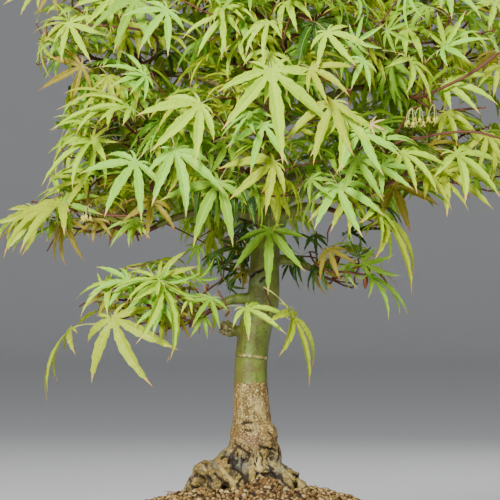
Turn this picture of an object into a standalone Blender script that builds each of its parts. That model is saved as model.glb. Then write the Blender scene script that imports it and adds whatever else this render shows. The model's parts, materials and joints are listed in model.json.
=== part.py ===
"""A Japanese maple grown as a bonsai, planted in a plain oval pot.

Metres, with Z up. The origin is the middle of the pot's flat underside, X runs to the right of
the front view and Y to the back. Heights in the tree's own tables are measured from the level
ground round the trunk's foot, and azimuths run anticlockwise from +X.
"""

import math
import random
from dataclasses import dataclass

import bmesh
import bpy
from mathutils import Matrix, Vector, noise
from mathutils.bvhtree import BVHTree

# The gap that neighbouring solids keep
CLEARANCE = 0.0003

# Points this close are one
WELD = 0.0000005

# Pot
POT_LENGTH = 0.236
POT_WIDTH = 0.176
POT_HEIGHT = 0.050
POT_WALL = 0.0065
POT_FLOOR = 0.007
POT_SQUARENESS = 2.5
POT_SIDES = 44
FOOT_HEIGHT = 0.0055
FOOT_INSET = 0.010
FOOT_STEP = 0.004
LIP_HEIGHT = 0.0065
LIP_OVERHANG = 0.0035
LIP_ROUNDING = 0.0015
WALL_FLARE = 0.002
WALL_FLARE_LEVEL = 0.55
FLOOR_CORNER = 0.004
DRAIN_RADIUS = 0.007
DRAIN_SPACING = 0.110
DRAIN_SIDES = 16

# Soil
GROUND = 0.062
SOIL_BELOW_RIM = 0.004
PLATEAU_RADIUS = 0.037
SOIL_RINGS = 8
MOUND_POWER = 1.6
LUMP_HEIGHT = 0.0022
LUMPS_PER_METRE = 43

# Trunk: height above the ground, X and Y of its middle, and radius
TRUNK_STATIONS = (
    (0.000, -0.0020, 0.0000, 0.0165),
    (0.021, -0.0028, 0.0000, 0.0150),
    (0.041, -0.0020, 0.0005, 0.0117),
    (0.071, -0.0025, 0.0010, 0.0098),
    (0.095, 0.0002, 0.0010, 0.0099),
    (0.113, 0.0048, 0.0000, 0.0096),
    (0.143, 0.0064, 0.0020, 0.0084),
    (0.176, 0.0130, 0.0040, 0.0066),
    (0.225, 0.0100, 0.0010, 0.0048),
    (0.275, 0.0030, -0.0030, 0.0034),
    (0.328, 0.0000, 0.0000, 0.0018),
)
TRUNK_TIP = TRUNK_STATIONS[-1][0]
TRUNK_RINGS = 24
TRUNK_SIDES = 16
RING_CROWDING = 1.35

# Surface roots: azimuth in degrees, height of the shoulder, reach over the ground, and the
# radius at the trunk and at the far end
ROOTS = (
    (184, 0.017, 0.0340, 0.0105, 0.0075),
    (218, 0.014, 0.0330, 0.0080, 0.0055),
    (262, 0.010, 0.0270, 0.0070, 0.0045),
    (318, 0.016, 0.0330, 0.0060, 0.0040),
    (352, 0.021, 0.0370, 0.0065, 0.0040),
    (52, 0.015, 0.0310, 0.0065, 0.0040),
    (112, 0.017, 0.0330, 0.0075, 0.0045),
)
ROOT_SIDES = 7
ROOT_RINGS = 5
ROOT_DIVE = 0.004
ROOT_KNEE = (0.62, 0.78)

# A knob left where a low limb was pruned off, at the left of the trunk
KNOB_HEIGHT = 0.0955
KNOB_REACH = (-0.0150, -0.0030, 0.0012)
KNOB_RADIUS = 0.0042
KNOB_SWELL = (1.1, 1.0, 1.12, 0.7)

# Boughs
BOUGH_SIDES = 6
BOUGH_RINGS = 6
BOUGH_SHARE = 0.46
BOUGH_TIP_RADIUS = 0.0017
BOUGH_RISE = 0.22
BOUGH_INTO_MASS = 0.72
COLLAR_SWELL = 1.28
LEAST_TAPER = 0.85

# Leaves: five lobes, each with its angle from the middle one and its share of the length
LEAF_LENGTH = 0.045
LEAF_SIZES = (1.0, 0.88, 0.76, 0.66)
LEAF_THICKNESS = 0.0018
LEAF_CUP = 0.22
LOBES = ((-97, 0.56), (-48, 0.88), (0, 1.0), (48, 0.88), (97, 0.56))
SINUS = 0.25
THROAT = 0.06
THROAT_ANGLE = 35
PETIOLE_LENGTH = 0.013
PETIOLE_RADIUS = 0.00048
STALK_BEND = (28, 48)
STEEPEST = 70
FLATTEST = 18
LEAF_SPREADS = (10, 20, 30, 40, 50, 60, 70, 80, 90, 100, 110, 120)
LEAVES_PER_SPRAY = 1.4
LEAF_TURNS = (0, 90, -90, 180, 45, -45)
PETIOLE_CHANCE = (0.7, 1.25)
DROOP_CHANCE = 14
ROLL_CHANCE = 20
STEEP_BELOW = 0.3
AWAY_FROM_TRUNK = 0.25

# Twigs
TWIG_SIDES = 3
TWIG_RADIUS = 0.0010
TWIG_END = 0.0010
ROOT_SHARE = 0.48
PIPE_POWER = 0.30
WAY_BACK = 0.35
TURN_COST = 0.5
STRAIGHTEST_BEND = 0.4
STEM_LENGTH = 0.012
STEM_TILT_ROOM = 0.0005
STEM_RISE = 0.35
SPRAY_SHELLS = (0.58, 0.34, 0.46)
SHELL_CHANCE = (0.9, 1.1)
HIGHEST_SPRAY = 0.95
LOWEST_SPRAY = -0.75

# Room that twigs and leaves keep
SPACE_MARGIN = 0.035
LIMB_GAP = 0.0012
TWIG_GAP = 0.0026
LEAF_GAP = 0.0006
LEAF_TO_TWIG = 0.0015
SPRAY_GAP = 0.005

# Where room is tested: steps along a twig and shares of a line, of a stalk and of a blade
TWIG_STEP = 0.004
LINE_SAMPLES = (0.2, 0.4, 0.6, 0.8, 1)
STALK_SAMPLES = (0.35, 0.6, 0.85)
BLADE_SAMPLES = (0.35, 0.7, 1.0)


@dataclass(frozen=True)
class Mass:
    """One mass of foliage: an oval space, and where the limb that bears it leaves the trunk.

    azimuth and reach place the middle of the space round the trunk's foot, height is the
    middle's level above the ground, and along, across and up are half its sizes. fork is the
    height where its limb leaves the trunk, and limb says whether there is a bough of its own.
    """

    name: str
    azimuth: float
    reach: float
    height: float
    along: float
    across: float
    up: float
    fork: float
    sprays: int
    limb: bool = True

    @property
    def outward(self):
        """The level direction from the trunk to the mass."""
        turn = math.radians(self.azimuth)
        return Vector((math.cos(turn), math.sin(turn), 0))

    @property
    def middle(self):
        """The middle of the space."""
        return self.outward * self.reach + Vector((0, 0, GROUND + self.height))

    def share(self, point):
        """How far out in the space a point lies: 0 in the middle and 1 on its outline."""
        offset = point - self.middle
        side = Vector((-self.outward.y, self.outward.x, 0))
        return Vector(
            (
                offset.dot(self.outward) / self.along,
                offset.dot(side) / self.across,
                offset.z / self.up,
            )
        ).length

    def place(self, radial, sideways, upward):
        """The point at these shares of the space's half sizes."""
        side = Vector((-self.outward.y, self.outward.x, 0))
        return (
            self.middle
            + self.outward * (radial * self.along)
            + side * (sideways * self.across)
            + Vector((0, 0, upward * self.up))
        )


MASSES = (
    Mass("foliage_low_left", 191, 0.070, 0.100, 0.062, 0.048, 0.044, 0.112, 8),
    Mass("foliage_low_front", 293, 0.046, 0.086, 0.032, 0.040, 0.042, 0.104, 4, False),
    Mass("foliage_left_long", 184, 0.103, 0.155, 0.060, 0.050, 0.034, 0.160, 8),
    Mass("foliage_left_middle", 200, 0.082, 0.203, 0.060, 0.054, 0.044, 0.194, 9),
    Mass("foliage_left_upper", 182, 0.094, 0.266, 0.066, 0.058, 0.050, 0.222, 10),
    Mass("foliage_front_middle", 263, 0.080, 0.198, 0.048, 0.062, 0.060, 0.170, 11),
    Mass("foliage_front_upper", 284, 0.078, 0.272, 0.052, 0.066, 0.052, 0.230, 11),
    Mass("foliage_front_right", 321, 0.088, 0.174, 0.048, 0.052, 0.054, 0.157, 9),
    Mass("foliage_right_low", 14, 0.070, 0.126, 0.046, 0.044, 0.034, 0.134, 6),
    Mass("foliage_right_long", 3, 0.118, 0.192, 0.056, 0.056, 0.044, 0.169, 9),
    Mass("foliage_right_upper", 356, 0.106, 0.260, 0.064, 0.060, 0.052, 0.213, 10),
    Mass("foliage_back_left", 136, 0.096, 0.192, 0.052, 0.064, 0.054, 0.178, 10),
    Mass("foliage_back_middle", 92, 0.092, 0.168, 0.050, 0.058, 0.052, 0.153, 9),
    Mass("foliage_back_right", 42, 0.098, 0.194, 0.052, 0.062, 0.054, 0.181, 10),
    Mass("foliage_back_upper", 88, 0.076, 0.264, 0.056, 0.072, 0.054, 0.238, 11),
    Mass("foliage_shoulder_left", 180, 0.064, 0.324, 0.060, 0.064, 0.044, 0.256, 8),
    Mass("foliage_shoulder_right", 0, 0.066, 0.322, 0.060, 0.064, 0.044, 0.264, 8),
    Mass("foliage_shoulder_front", 270, 0.062, 0.326, 0.052, 0.060, 0.044, 0.272, 8),
    Mass("foliage_shoulder_back", 90, 0.062, 0.322, 0.052, 0.060, 0.044, 0.280, 8),
    Mass("foliage_apex", 0, 0.0, 0.350, 0.056, 0.056, 0.040, 0.328, 8, False),
)

# Finishes: base colour, roughness
FINISHES = {
    "stoneware": ((0.165, 0.085, 0.052), 0.72),
    "soil": ((0.235, 0.150, 0.075), 0.95),
    "bark": ((0.300, 0.240, 0.110), 0.75),
    "young_bark": ((0.250, 0.260, 0.100), 0.65),
    "leaf": ((0.360, 0.520, 0.120), 0.55),
}


def clear_scene():
    """Removes whatever the file opened with."""
    for obj in list(bpy.data.objects):
        bpy.data.objects.remove(obj, do_unlink=True)


def finish(name):
    """The material of that name, made the first time that it is asked for."""
    found = bpy.data.materials.get(name)
    if found:
        return found
    colour, roughness = FINISHES[name]
    made = bpy.data.materials.new(name)
    made.use_nodes = True
    shader = made.node_tree.nodes["Principled BSDF"]
    shader.inputs["Base Color"].default_value = (*colour, 1)
    shader.inputs["Roughness"].default_value = roughness
    shader.inputs["Metallic"].default_value = 0
    made.diffuse_color = (*colour, 1)
    return made


def add_object(name, mesh, material=None):
    """An object for the mesh, linked into the scene."""
    obj = bpy.data.objects.new(name, mesh)
    bpy.context.scene.collection.objects.link(obj)
    if material:
        mesh.materials.append(finish(material))
    return obj


def loft(name, rings, material=None):
    """A closed body through rings of equally many points, each anticlockwise from above."""
    shell = bmesh.new()
    rows = [[shell.verts.new(point) for point in ring] for ring in rings]
    count = len(rows[0])
    for lower, upper in zip(rows, rows[1:]):
        for i in range(count):
            j = (i + 1) % count
            shell.faces.new((lower[i], lower[j], upper[j], upper[i]))
    shell.faces.new(rows[0][::-1])
    shell.faces.new(rows[-1])
    mesh = bpy.data.meshes.new(name)
    shell.to_mesh(mesh)
    shell.free()
    return add_object(name, mesh, material)


def side_of(direction):
    """A unit vector square to a direction."""
    helper = Vector((1, 0, 0)) if abs(direction.normalized().z) > 0.8 else Vector((0, 0, 1))
    return helper.cross(direction).normalized()


def ring_round(centre, direction, radius, sides, side=None):
    """Points of a circle round a centre, square to a direction, starting at a given side."""
    ahead = direction.normalized()
    side = side or side_of(ahead)
    up = ahead.cross(side)
    points = []
    for i in range(sides):
        angle = math.tau * i / sides
        points.append(centre + side * (radius * math.cos(angle)) + up * (radius * math.sin(angle)))
    return points


def tube(name, path, radii, sides, material=None):
    """A tapering limb along a path, with a flat end at each side and no twist."""
    ways = [(later - point).normalized() for point, later in zip(path, path[1:])]
    ways = [ways[0], *ways, ways[-1]]
    side = side_of(ways[0])
    rings = []
    for i, point in enumerate(path):
        ahead = (ways[i] + ways[i + 1]).normalized()
        side = (side - ahead * side.dot(ahead)).normalized()
        rings.append(ring_round(point, ahead, radii[i], sides, side))
    return loft(name, rings, material)


def bent(start, corner, end, count):
    """Points along the curve that leaves start towards corner and arrives at end from it."""
    points = []
    for i in range(count):
        t = i / (count - 1)
        points.append(start * (1 - t) ** 2 + corner * (2 * t * (1 - t)) + end * t**2)
    return points


def evaluated_copy(obj):
    """The object's mesh with its modifiers applied."""
    graph = bpy.context.evaluated_depsgraph_get()
    return bpy.data.meshes.new_from_object(obj.evaluated_get(graph))


def remove(objects):
    """Removes helper objects for good."""
    for obj in objects:
        bpy.data.objects.remove(obj, do_unlink=True)


def combined(obj, group, operation, solver):
    """The mesh of an object with a collection joined to it or cut from it."""
    boolean = obj.modifiers.new("Boolean", "BOOLEAN")
    boolean.operation = operation
    boolean.solver = solver
    boolean.operand_type = "COLLECTION"
    boolean.collection = group
    bpy.context.view_layer.update()
    mesh = evaluated_copy(obj)
    obj.modifiers.remove(boolean)
    return mesh


def combine(obj, others, operation, keep_others=False):
    """Joins the others to an object, or cuts them from it, and applies the result."""
    group = bpy.data.collections.new("operands")
    bpy.context.scene.collection.children.link(group)
    for other in others:
        group.objects.link(other)
    for solver in ("EXACT", "MANIFOLD"):
        mesh = combined(obj, group, operation, solver)
        if tidy_mesh(mesh):
            break
    else:
        raise RuntimeError(f"{obj.name} doesn't come out as one closed body")
    obj.data = mesh
    for other in others:
        group.objects.unlink(other)
    if not keep_others:
        remove(others)
    bpy.data.collections.remove(group)


def pieces_of(shell):
    """The connected pieces of a mesh, as sets of faces that meet along edges."""
    left = set(shell.faces)
    pieces = []
    while left:
        piece, front = set(), [left.pop()]
        while front:
            face = front.pop()
            piece.add(face)
            for edge in face.edges:
                if len(edge.link_faces) > 2:
                    continue
                for other in edge.link_faces:
                    if other in left:
                        left.discard(other)
                        front.append(other)
        pieces.append(piece)
    return pieces


def tidy_mesh(mesh):
    """Keeps a cut mesh's largest piece in triangles, and says whether it came out closed."""
    shell = bmesh.new()
    shell.from_mesh(mesh)
    bmesh.ops.remove_doubles(shell, verts=shell.verts[:], dist=WELD)
    spare = [vert for vert in shell.verts if len(vert.link_edges) == 2]
    bmesh.ops.dissolve_verts(shell, verts=spare)
    pieces = pieces_of(shell)
    largest = max(pieces, key=len)
    stray = [face for piece in pieces if piece is not largest for face in piece]
    bmesh.ops.delete(shell, geom=stray, context="FACES")
    bmesh.ops.triangulate(shell, faces=shell.faces[:])
    sound = all(len(edge.link_faces) == 2 for edge in shell.edges) and len(pieces_of(shell)) == 1
    shell.to_mesh(mesh)
    shell.free()
    return sound


# Pot and soil


def oval(half_length, half_width, height, sides=POT_SIDES, squareness=POT_SQUARENESS):
    """A ring of points round an oval whose sides are a little straightened."""
    points = []
    for i in range(sides):
        angle = math.tau * i / sides
        c, s = math.cos(angle), math.sin(angle)
        x = math.copysign(abs(c) ** (2 / squareness), c) * half_length
        y = math.copysign(abs(s) ** (2 / squareness), s) * half_width
        points.append(Vector((x, y, height)))
    return points


def pot_ring(inset, height):
    """The pot's oval at a level, this far inside its widest line."""
    return oval(POT_LENGTH / 2 - inset, POT_WIDTH / 2 - inset, height)


def build_pot():
    """The oval pot: a foot band, flaring walls, a lip, and two drain holes in the floor."""
    under_lip = POT_HEIGHT - LIP_HEIGHT
    inside = LIP_OVERHANG + POT_WALL
    rings = [
        pot_ring(FOOT_INSET + FOOT_STEP, 0),
        pot_ring(FOOT_INSET + FOOT_STEP, FOOT_HEIGHT),
        pot_ring(FOOT_INSET, FOOT_HEIGHT + FOOT_STEP / 2),
        pot_ring(LIP_OVERHANG + WALL_FLARE, under_lip * WALL_FLARE_LEVEL),
        pot_ring(LIP_OVERHANG, under_lip),
        pot_ring(LIP_ROUNDING / 2, under_lip + LIP_ROUNDING / 2),
        pot_ring(0, under_lip + LIP_ROUNDING),
        pot_ring(0, POT_HEIGHT - LIP_ROUNDING),
        pot_ring(LIP_ROUNDING, POT_HEIGHT),
        pot_ring(inside - LIP_ROUNDING, POT_HEIGHT),
        pot_ring(inside, POT_HEIGHT - LIP_ROUNDING),
        pot_ring(FOOT_INSET + POT_WALL, POT_FLOOR + FLOOR_CORNER),
        pot_ring(FOOT_INSET + POT_WALL + FLOOR_CORNER, POT_FLOOR),
    ]
    pot = loft("pot", rings, "stoneware")
    drains = []
    for side in (-1, 1):
        x = side * DRAIN_SPACING / 2
        rings = []
        for level in (-DRAIN_RADIUS, POT_FLOOR + DRAIN_RADIUS):
            centre = Vector((x, 0, level))
            rings.append(ring_round(centre, Vector((0, 0, 1)), DRAIN_RADIUS, DRAIN_SIDES))
        drains.append(loft("drain_cutter", rings))
    combine(pot, drains, "DIFFERENCE")
    return pot


def build_soil():
    """The soil body: it fills the pot, and a lumpy heap rises to level ground round the trunk."""
    gap = CLEARANCE * 1.5
    edge = LIP_OVERHANG + POT_WALL + gap
    low = FOOT_INSET + POT_WALL + gap
    rim = POT_HEIGHT - SOIL_BELOW_RIM
    corner = POT_FLOOR + FLOOR_CORNER
    share = (rim - corner) / (POT_HEIGHT - LIP_ROUNDING - corner)
    edge += (low - edge) * (1 - share)
    rings = [
        pot_ring(low + FLOOR_CORNER, POT_FLOOR + gap),
        pot_ring(low, corner + gap),
        pot_ring(edge, rim),
    ]
    for i in range(1, SOIL_RINGS + 1):
        t = i / SOIL_RINGS
        length = (POT_LENGTH / 2 - edge) * (1 - t) + PLATEAU_RADIUS * t
        width = (POT_WIDTH / 2 - edge) * (1 - t) + PLATEAU_RADIUS * t
        height = rim + (GROUND - CLEARANCE - rim) * t**MOUND_POWER
        ring = oval(length, width, height, squareness=POT_SQUARENESS * (1 - t) + 2 * t)
        for point in ring:
            point.z += noise.noise(point * LUMPS_PER_METRE) * LUMP_HEIGHT * 4 * t * (1 - t)
        rings.append(ring)
    return loft("soil", rings, "soil")


# Trunk


def trunk_at(height):
    """The trunk's middle and radius at a height above the ground, along a smooth curve."""
    last = len(TRUNK_STATIONS) - 1
    i = 0
    while i < last - 1 and TRUNK_STATIONS[i + 1][0] <= height:
        i += 1
    low, high = TRUNK_STATIONS[i], TRUNK_STATIONS[i + 1]
    before = TRUNK_STATIONS[max(i - 1, 0)]
    after = TRUNK_STATIONS[min(i + 2, last)]
    span = high[0] - low[0]
    t = (height - low[0]) / span
    values = []
    for k in (1, 2, 3):
        leaving = (high[k] - before[k]) / (high[0] - before[0]) * span
        arriving = (after[k] - low[k]) / (after[0] - low[0]) * span
        values.append(
            (2 * t**3 - 3 * t**2 + 1) * low[k]
            + (t**3 - 2 * t**2 + t) * leaving
            + (3 * t**2 - 2 * t**3) * high[k]
            + (t**3 - t**2) * arriving
        )
    x, y, radius = values
    return Vector((x, y, GROUND + height)), radius


def trunk_column(name, extra=0.0, material=None):
    """The trunk from the ground to its tip, fattened by extra."""
    rings = []
    for i in range(TRUNK_RINGS):
        height = TRUNK_TIP * (i / (TRUNK_RINGS - 1)) ** RING_CROWDING
        centre, radius = trunk_at(height)
        rings.append(ring_round(centre, Vector((0, 0, 1)), radius + extra, TRUNK_SIDES))
    if extra:
        for point in rings[-1]:
            point.z += extra
    return loft(name, rings, material)


def build_trunk():
    """The trunk with its surface roots and pruned knob, cut flat at the ground."""
    trunk = trunk_column("trunk", material="bark")
    grown = []
    for azimuth, shoulder, reach, thick, thin in ROOTS:
        turn = math.radians(azimuth)
        outward = Vector((math.cos(turn), math.sin(turn), 0))
        start, _ = trunk_at(shoulder)
        foot, _ = trunk_at(0)
        corner = foot + outward * (reach * ROOT_KNEE[0]) + Vector((0, 0, shoulder * ROOT_KNEE[1]))
        end = foot + outward * reach - Vector((0, 0, ROOT_DIVE))
        radii = [thick + (thin - thick) * i / (ROOT_RINGS - 1) for i in range(ROOT_RINGS)]
        grown.append(tube("root", bent(start, corner, end, ROOT_RINGS), radii, ROOT_SIDES))
    knob_start, _ = trunk_at(KNOB_HEIGHT)
    knob_end = knob_start + Vector(KNOB_REACH)
    path = bent(knob_start, (knob_start + knob_end) / 2, knob_end, len(KNOB_SWELL))
    radii = [KNOB_RADIUS * swell for swell in KNOB_SWELL]
    grown.append(tube("knob", path, radii, ROOT_SIDES))
    combine(trunk, grown, "UNION")
    below = [oval(POT_WIDTH / 2, POT_WIDTH / 2, level, 8, 2) for level in (0, GROUND)]
    combine(trunk, [loft("below_ground", below)], "DIFFERENCE")
    return trunk


def bough_path(mass):
    """The middle line of a mass's bough, from inside the trunk to where the foliage begins."""
    start, thickness = trunk_at(mass.fork)
    reach = mass.middle - start
    while mass.share(start + reach) < BOUGH_INTO_MASS:
        reach = reach * 0.99
    level = Vector((reach.x, reach.y, 0))
    corner = start + level * 0.5 + Vector((0, 0, reach.z * 0.5 + level.length * BOUGH_RISE))
    return bent(start, corner, start + reach, BOUGH_RINGS), thickness * BOUGH_SHARE


def build_bough(mass, trunk_cutter):
    """A tapering bough whose foot is cut to the trunk's side."""
    path, thick = bough_path(mass)
    radii = []
    for i in range(BOUGH_RINGS):
        t = i / (BOUGH_RINGS - 1)
        radii.append(thick + (min(BOUGH_TIP_RADIUS, thick * LEAST_TAPER) - thick) * t)
    radii[0] *= COLLAR_SWELL
    name = mass.name.replace("foliage", "bough")
    bough = tube(name, path, radii, BOUGH_SIDES, "young_bark")
    combine(bough, [trunk_cutter], "DIFFERENCE", keep_others=True)
    return bough


# Foliage


def tree_of(obj):
    """A search tree of an object's faces, for distances and overlaps."""
    corners = [vert.co.copy() for vert in obj.data.vertices]
    return BVHTree.FromPolygons(corners, [tuple(face.vertices) for face in obj.data.polygons])


@dataclass
class Leaf:
    """A palmate leaf on its stalk: where the stalk is rooted, and the blade's hub and attitude."""

    root: Vector
    hub: Vector
    axis: Vector
    normal: Vector
    size: float

    def outline(self):
        """The blade's points from one side of the stalk round to the other: notches and tips."""
        side = self.normal.cross(self.axis)
        polar = [(-180 + THROAT_ANGLE, THROAT)]
        for i, (angle, length) in enumerate(LOBES):
            polar.append((angle, length))
            if i + 1 < len(LOBES):
                polar.append(((angle + LOBES[i + 1][0]) / 2, SINUS))
        polar.append((180 - THROAT_ANGLE, THROAT))
        points = []
        for angle, length in polar:
            turn = math.radians(angle)
            level = self.axis * math.cos(turn) + side * math.sin(turn)
            drop = self.normal * (LEAF_CUP * length**2)
            points.append(self.hub + (level * length - drop) * self.size)
        return points

    def stalk_end(self):
        """The three corners of the stalk's end: left, right and top."""
        way = (self.hub - self.root).normalized()
        left = self.normal.cross(self.axis)
        left = (left - way * left.dot(way)).normalized()
        top = way.cross(left)
        low = top * (-0.5 * PETIOLE_RADIUS)
        wide = left * (0.87 * PETIOLE_RADIUS)
        return self.root + low + wide, self.root + low - wide, self.root + top * PETIOLE_RADIUS

    def mesh(self):
        """Corners and faces of the closed leaf: a shallow double cone with its stalk."""
        rim = self.outline()
        half = self.normal * (LEAF_THICKNESS / 2)
        corners = [*rim, self.hub + half, self.hub - half, *self.stalk_end()]
        last = len(rim) - 1
        top, bottom, left, right, ridge = range(last + 1, last + 6)
        faces = []
        for i in range(last):
            faces.append((i, i + 1, top))
            faces.append((i + 1, i, bottom))
        faces += [(top, last, left), (top, left, ridge), (top, ridge, right), (top, right, 0)]
        faces += [(bottom, left, last), (bottom, right, left), (bottom, 0, right)]
        faces.append((left, right, ridge))
        return corners, faces

    def blade_tree(self):
        """A search tree of the blade alone."""
        corners, faces = self.mesh()
        return BVHTree.FromPolygons(corners, faces[: 2 * (len(self.outline()) - 1)])

    def samples(self):
        """Points over the blade, close enough together to test its room."""
        found = [self.hub]
        for point in self.outline():
            for t in BLADE_SAMPLES:
                found.append(self.hub.lerp(point, t))
        return found

    def stalk_samples(self):
        """Points along the stalk's outer part."""
        return [self.root.lerp(self.hub, t) for t in STALK_SAMPLES]


def crosses(tree, start, end, gap):
    """True if a line between two points runs through a surface, or within a gap of it."""
    way = end - start
    if tree.ray_cast(start, way.normalized(), way.length)[0]:
        return True
    return any(tree.find_nearest(start.lerp(end, t), gap)[0] for t in LINE_SAMPLES)


class Foliage:
    """The twigs and leaves of one mass, kept to its own space and clear of the limbs."""

    def __init__(self, mass, limbs, start, heading, seed):
        self.mass = mass
        self.limbs = limbs
        self.rule = random.Random(seed)
        self.nodes = [start, start + heading * STEM_LENGTH]
        self.parents = [None, 0]
        self.way = [0.0, STEM_LENGTH]
        self.leaves = []
        self.blades = []
        self.bearers = set()

    def in_space(self, points):
        """True if every point is in this mass's share of the crown."""
        for point in points:
            own = self.mass.share(point)
            if own > 1:
                return False
            for other in MASSES:
                if other is not self.mass and other.share(point) < own + SPACE_MARGIN:
                    return False
        return True

    def near_limb(self, points, gap=LIMB_GAP):
        """True if any point lies this near to a limb."""
        return any(tree.find_nearest(point, gap)[0] for point in points for tree in self.limbs)

    def clear_line(self, start, end):
        """True if a twig may run between two points."""
        steps = max(3, int((end - start).length / TWIG_STEP))
        points = [start.lerp(end, i / steps) for i in range(1, steps + 1)]
        return self.in_space(points[steps // 2 :]) and not self.near_limb(points, TWIG_GAP)

    def spray_points(self):
        """Where twigs end: points spread evenly by the golden angle over inner shells."""
        tries = self.mass.sprays * 2
        golden = math.pi * (3 - math.sqrt(5))
        turn = self.rule.uniform(0, math.tau)
        found = []
        for i in range(tries):
            rise = HIGHEST_SPRAY + (LOWEST_SPRAY - HIGHEST_SPRAY) * (i + 0.5) / tries
            level = math.sqrt(1 - rise * rise)
            angle = turn + golden * i
            shell = SPRAY_SHELLS[i % len(SPRAY_SHELLS)] * self.rule.uniform(*SHELL_CHANCE)
            point = self.mass.place(
                shell * level * math.cos(angle), shell * level * math.sin(angle), shell * rise
            )
            if self.in_space([point]) and not self.near_limb([point], SPRAY_GAP):
                found.append(point)
        found.sort(key=self.mass.share, reverse=True)
        return found[: self.mass.sprays]

    def grow(self):
        """Joins the spray points to the stem one by one, each time by the cheapest twig.

        A twig costs its own length and part of the way back from it to the stem's foot.
        """
        left = self.spray_points()
        while left:
            best = None
            for point in left:
                for i in range(1, len(self.nodes)):
                    way = point - self.nodes[i]
                    turn = 1 - self.heading(i).dot(way.normalized())
                    cost = way.length * (1 + TURN_COST * turn) + WAY_BACK * self.way[i]
                    if (best is None or cost < best[0]) and self.clear_line(self.nodes[i], point):
                        best = (cost, point, i)
            if best is None:
                return
            _, point, i = best
            self.nodes.append(point)
            self.parents.append(i)
            self.way.append(self.way[i] + (point - self.nodes[i]).length)
            left.remove(point)

    def hung_leaf(self, node, azimuth, spread, size):
        """A leaf that hangs out from a node towards an azimuth, with some chance in its pose."""
        root = self.nodes[node]
        reach = PETIOLE_LENGTH * self.rule.uniform(*PETIOLE_CHANCE)
        turn = azimuth + math.radians(self.rule.uniform(-spread, spread))
        facing = Vector((math.cos(turn), math.sin(turn), 0))
        rise = (root.z - self.mass.middle.z) / self.mass.up
        droop = STEEPEST + (FLATTEST - STEEPEST) * min(max(rise + STEEP_BELOW, 0), 1)
        droop = math.radians(droop + self.rule.uniform(-DROOP_CHANCE, DROOP_CHANCE))
        bend = math.radians(self.rule.uniform(*STALK_BEND))
        axis = facing * math.cos(droop) - Vector((0, 0, math.sin(droop)))
        normal = facing * math.sin(droop) + Vector((0, 0, math.cos(droop)))
        hub = root + (axis * math.cos(bend) + normal * math.sin(bend)) * reach
        rolled = math.radians(self.rule.uniform(-ROLL_CHANCE, ROLL_CHANCE))
        roll = Matrix.Rotation(rolled, 3, axis)
        return Leaf(root, hub, axis, (roll @ normal).normalized(), LEAF_LENGTH * size)

    def has_room(self, leaf):
        """True if a leaf keeps to the space and clear of limbs, twigs and other leaves."""
        points = leaf.samples()
        if not self.in_space([*points, *leaf.stalk_samples()]):
            return False
        if self.near_limb([*points, *leaf.stalk_samples()]):
            return False
        blade = leaf.blade_tree()
        if any(blade.overlap(other) for other in (*self.limbs, *self.blades)):
            return False
        for other in self.blades:
            if any(other.find_nearest(point, LEAF_GAP)[0] for point in points):
                return False
            if crosses(other, leaf.root, leaf.hub, PETIOLE_RADIUS + LEAF_GAP):
                return False
        for i in range(1, len(self.nodes)):
            if crosses(blade, self.nodes[self.parents[i]], self.nodes[i], LEAF_TO_TWIG):
                return False
        return not any(crosses(blade, other.root, other.hub, LEAF_GAP) for other in self.leaves)

    def leaf_out(self):
        """Hangs leaves round the twigs' ends, one at a time on each in turn."""
        most = round(self.mass.sprays * LEAVES_PER_SPRAY)
        for turn in LEAF_TURNS:
            for node in range(2, len(self.nodes)):
                if len(self.leaves) == most:
                    return
                offset = self.nodes[node] - self.mass.middle
                away = offset + self.nodes[node] * AWAY_FROM_TRUNK
                azimuth = math.atan2(away.y, away.x) + math.radians(turn)
                for size in LEAF_SIZES:
                    if self.add_leaf(node, azimuth, size):
                        break

    def add_leaf(self, node, azimuth, size):
        """Adds a leaf of this size at a node if any of several poses has room."""
        for spread in LEAF_SPREADS:
            leaf = self.hung_leaf(node, azimuth, spread, size)
            if self.has_room(leaf):
                self.leaves.append(leaf)
                self.blades.append(leaf.blade_tree())
                self.bearers.add(node)
                return True
        return False

    def heading(self, node):
        """The direction in which the twig that ends at a node runs."""
        return (self.nodes[node] - self.nodes[self.parents[node]]).normalized()

    def bend(self, node):
        """How straight the way runs on into a node's twig: 1 is straight and 0 a right angle."""
        return self.heading(self.parents[node]).dot(self.heading(node))

    def chains(self):
        """The twigs as runs of nodes: each run goes on through the child that bears the most."""
        load = [int(i in self.bearers) for i in range(len(self.nodes))]
        for i in range(len(self.nodes) - 1, 0, -1):
            load[self.parents[i]] += load[i]
        children = {i: [] for i in range(len(self.nodes))}
        for i in range(1, len(self.nodes)):
            if load[i] or i == 1:
                children[self.parents[i]].append(i)
        runs = []
        waiting = [(0, 1)]
        while waiting:
            run = list(waiting.pop())
            while children[run[-1]]:
                last = run[-1]
                fit = [i for i in children[last] if self.bend(i) > STRAIGHTEST_BEND]
                heir = max(fit, key=lambda i: load[i]) if fit else None
                waiting += [(last, i) for i in children[last] if i != heir]
                if heir is None:
                    break
                run.append(heir)
            runs.append(run)
        return runs, load

    def parts(self):
        """The stem, the other twigs and the leaves, each as an object."""
        runs, load = self.chains()
        parts = []
        for run in runs:
            radii = [twig_radius(load[i]) for i in run]
            path = [self.nodes[i] for i in run]
            path[-1] = path[-1] + (path[-1] - path[-2]).normalized() * TWIG_END
            if run[0] != 0:
                radii[0] *= ROOT_SHARE
            parts.append(tube("twig", path, radii, TWIG_SIDES))
        for leaf in self.leaves:
            mesh = bpy.data.meshes.new("leaf")
            corners, faces = leaf.mesh()
            mesh.from_pydata(corners, [], faces)
            parts.append(add_object("leaf", mesh))
        return parts

    def build(self):
        """Fuses the stem, twigs and leaves into one solid."""
        stem, *others = self.parts()
        stem.name = self.mass.name
        stem.data.materials.append(finish("leaf"))
        combine(stem, others, "UNION")
        return stem


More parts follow.
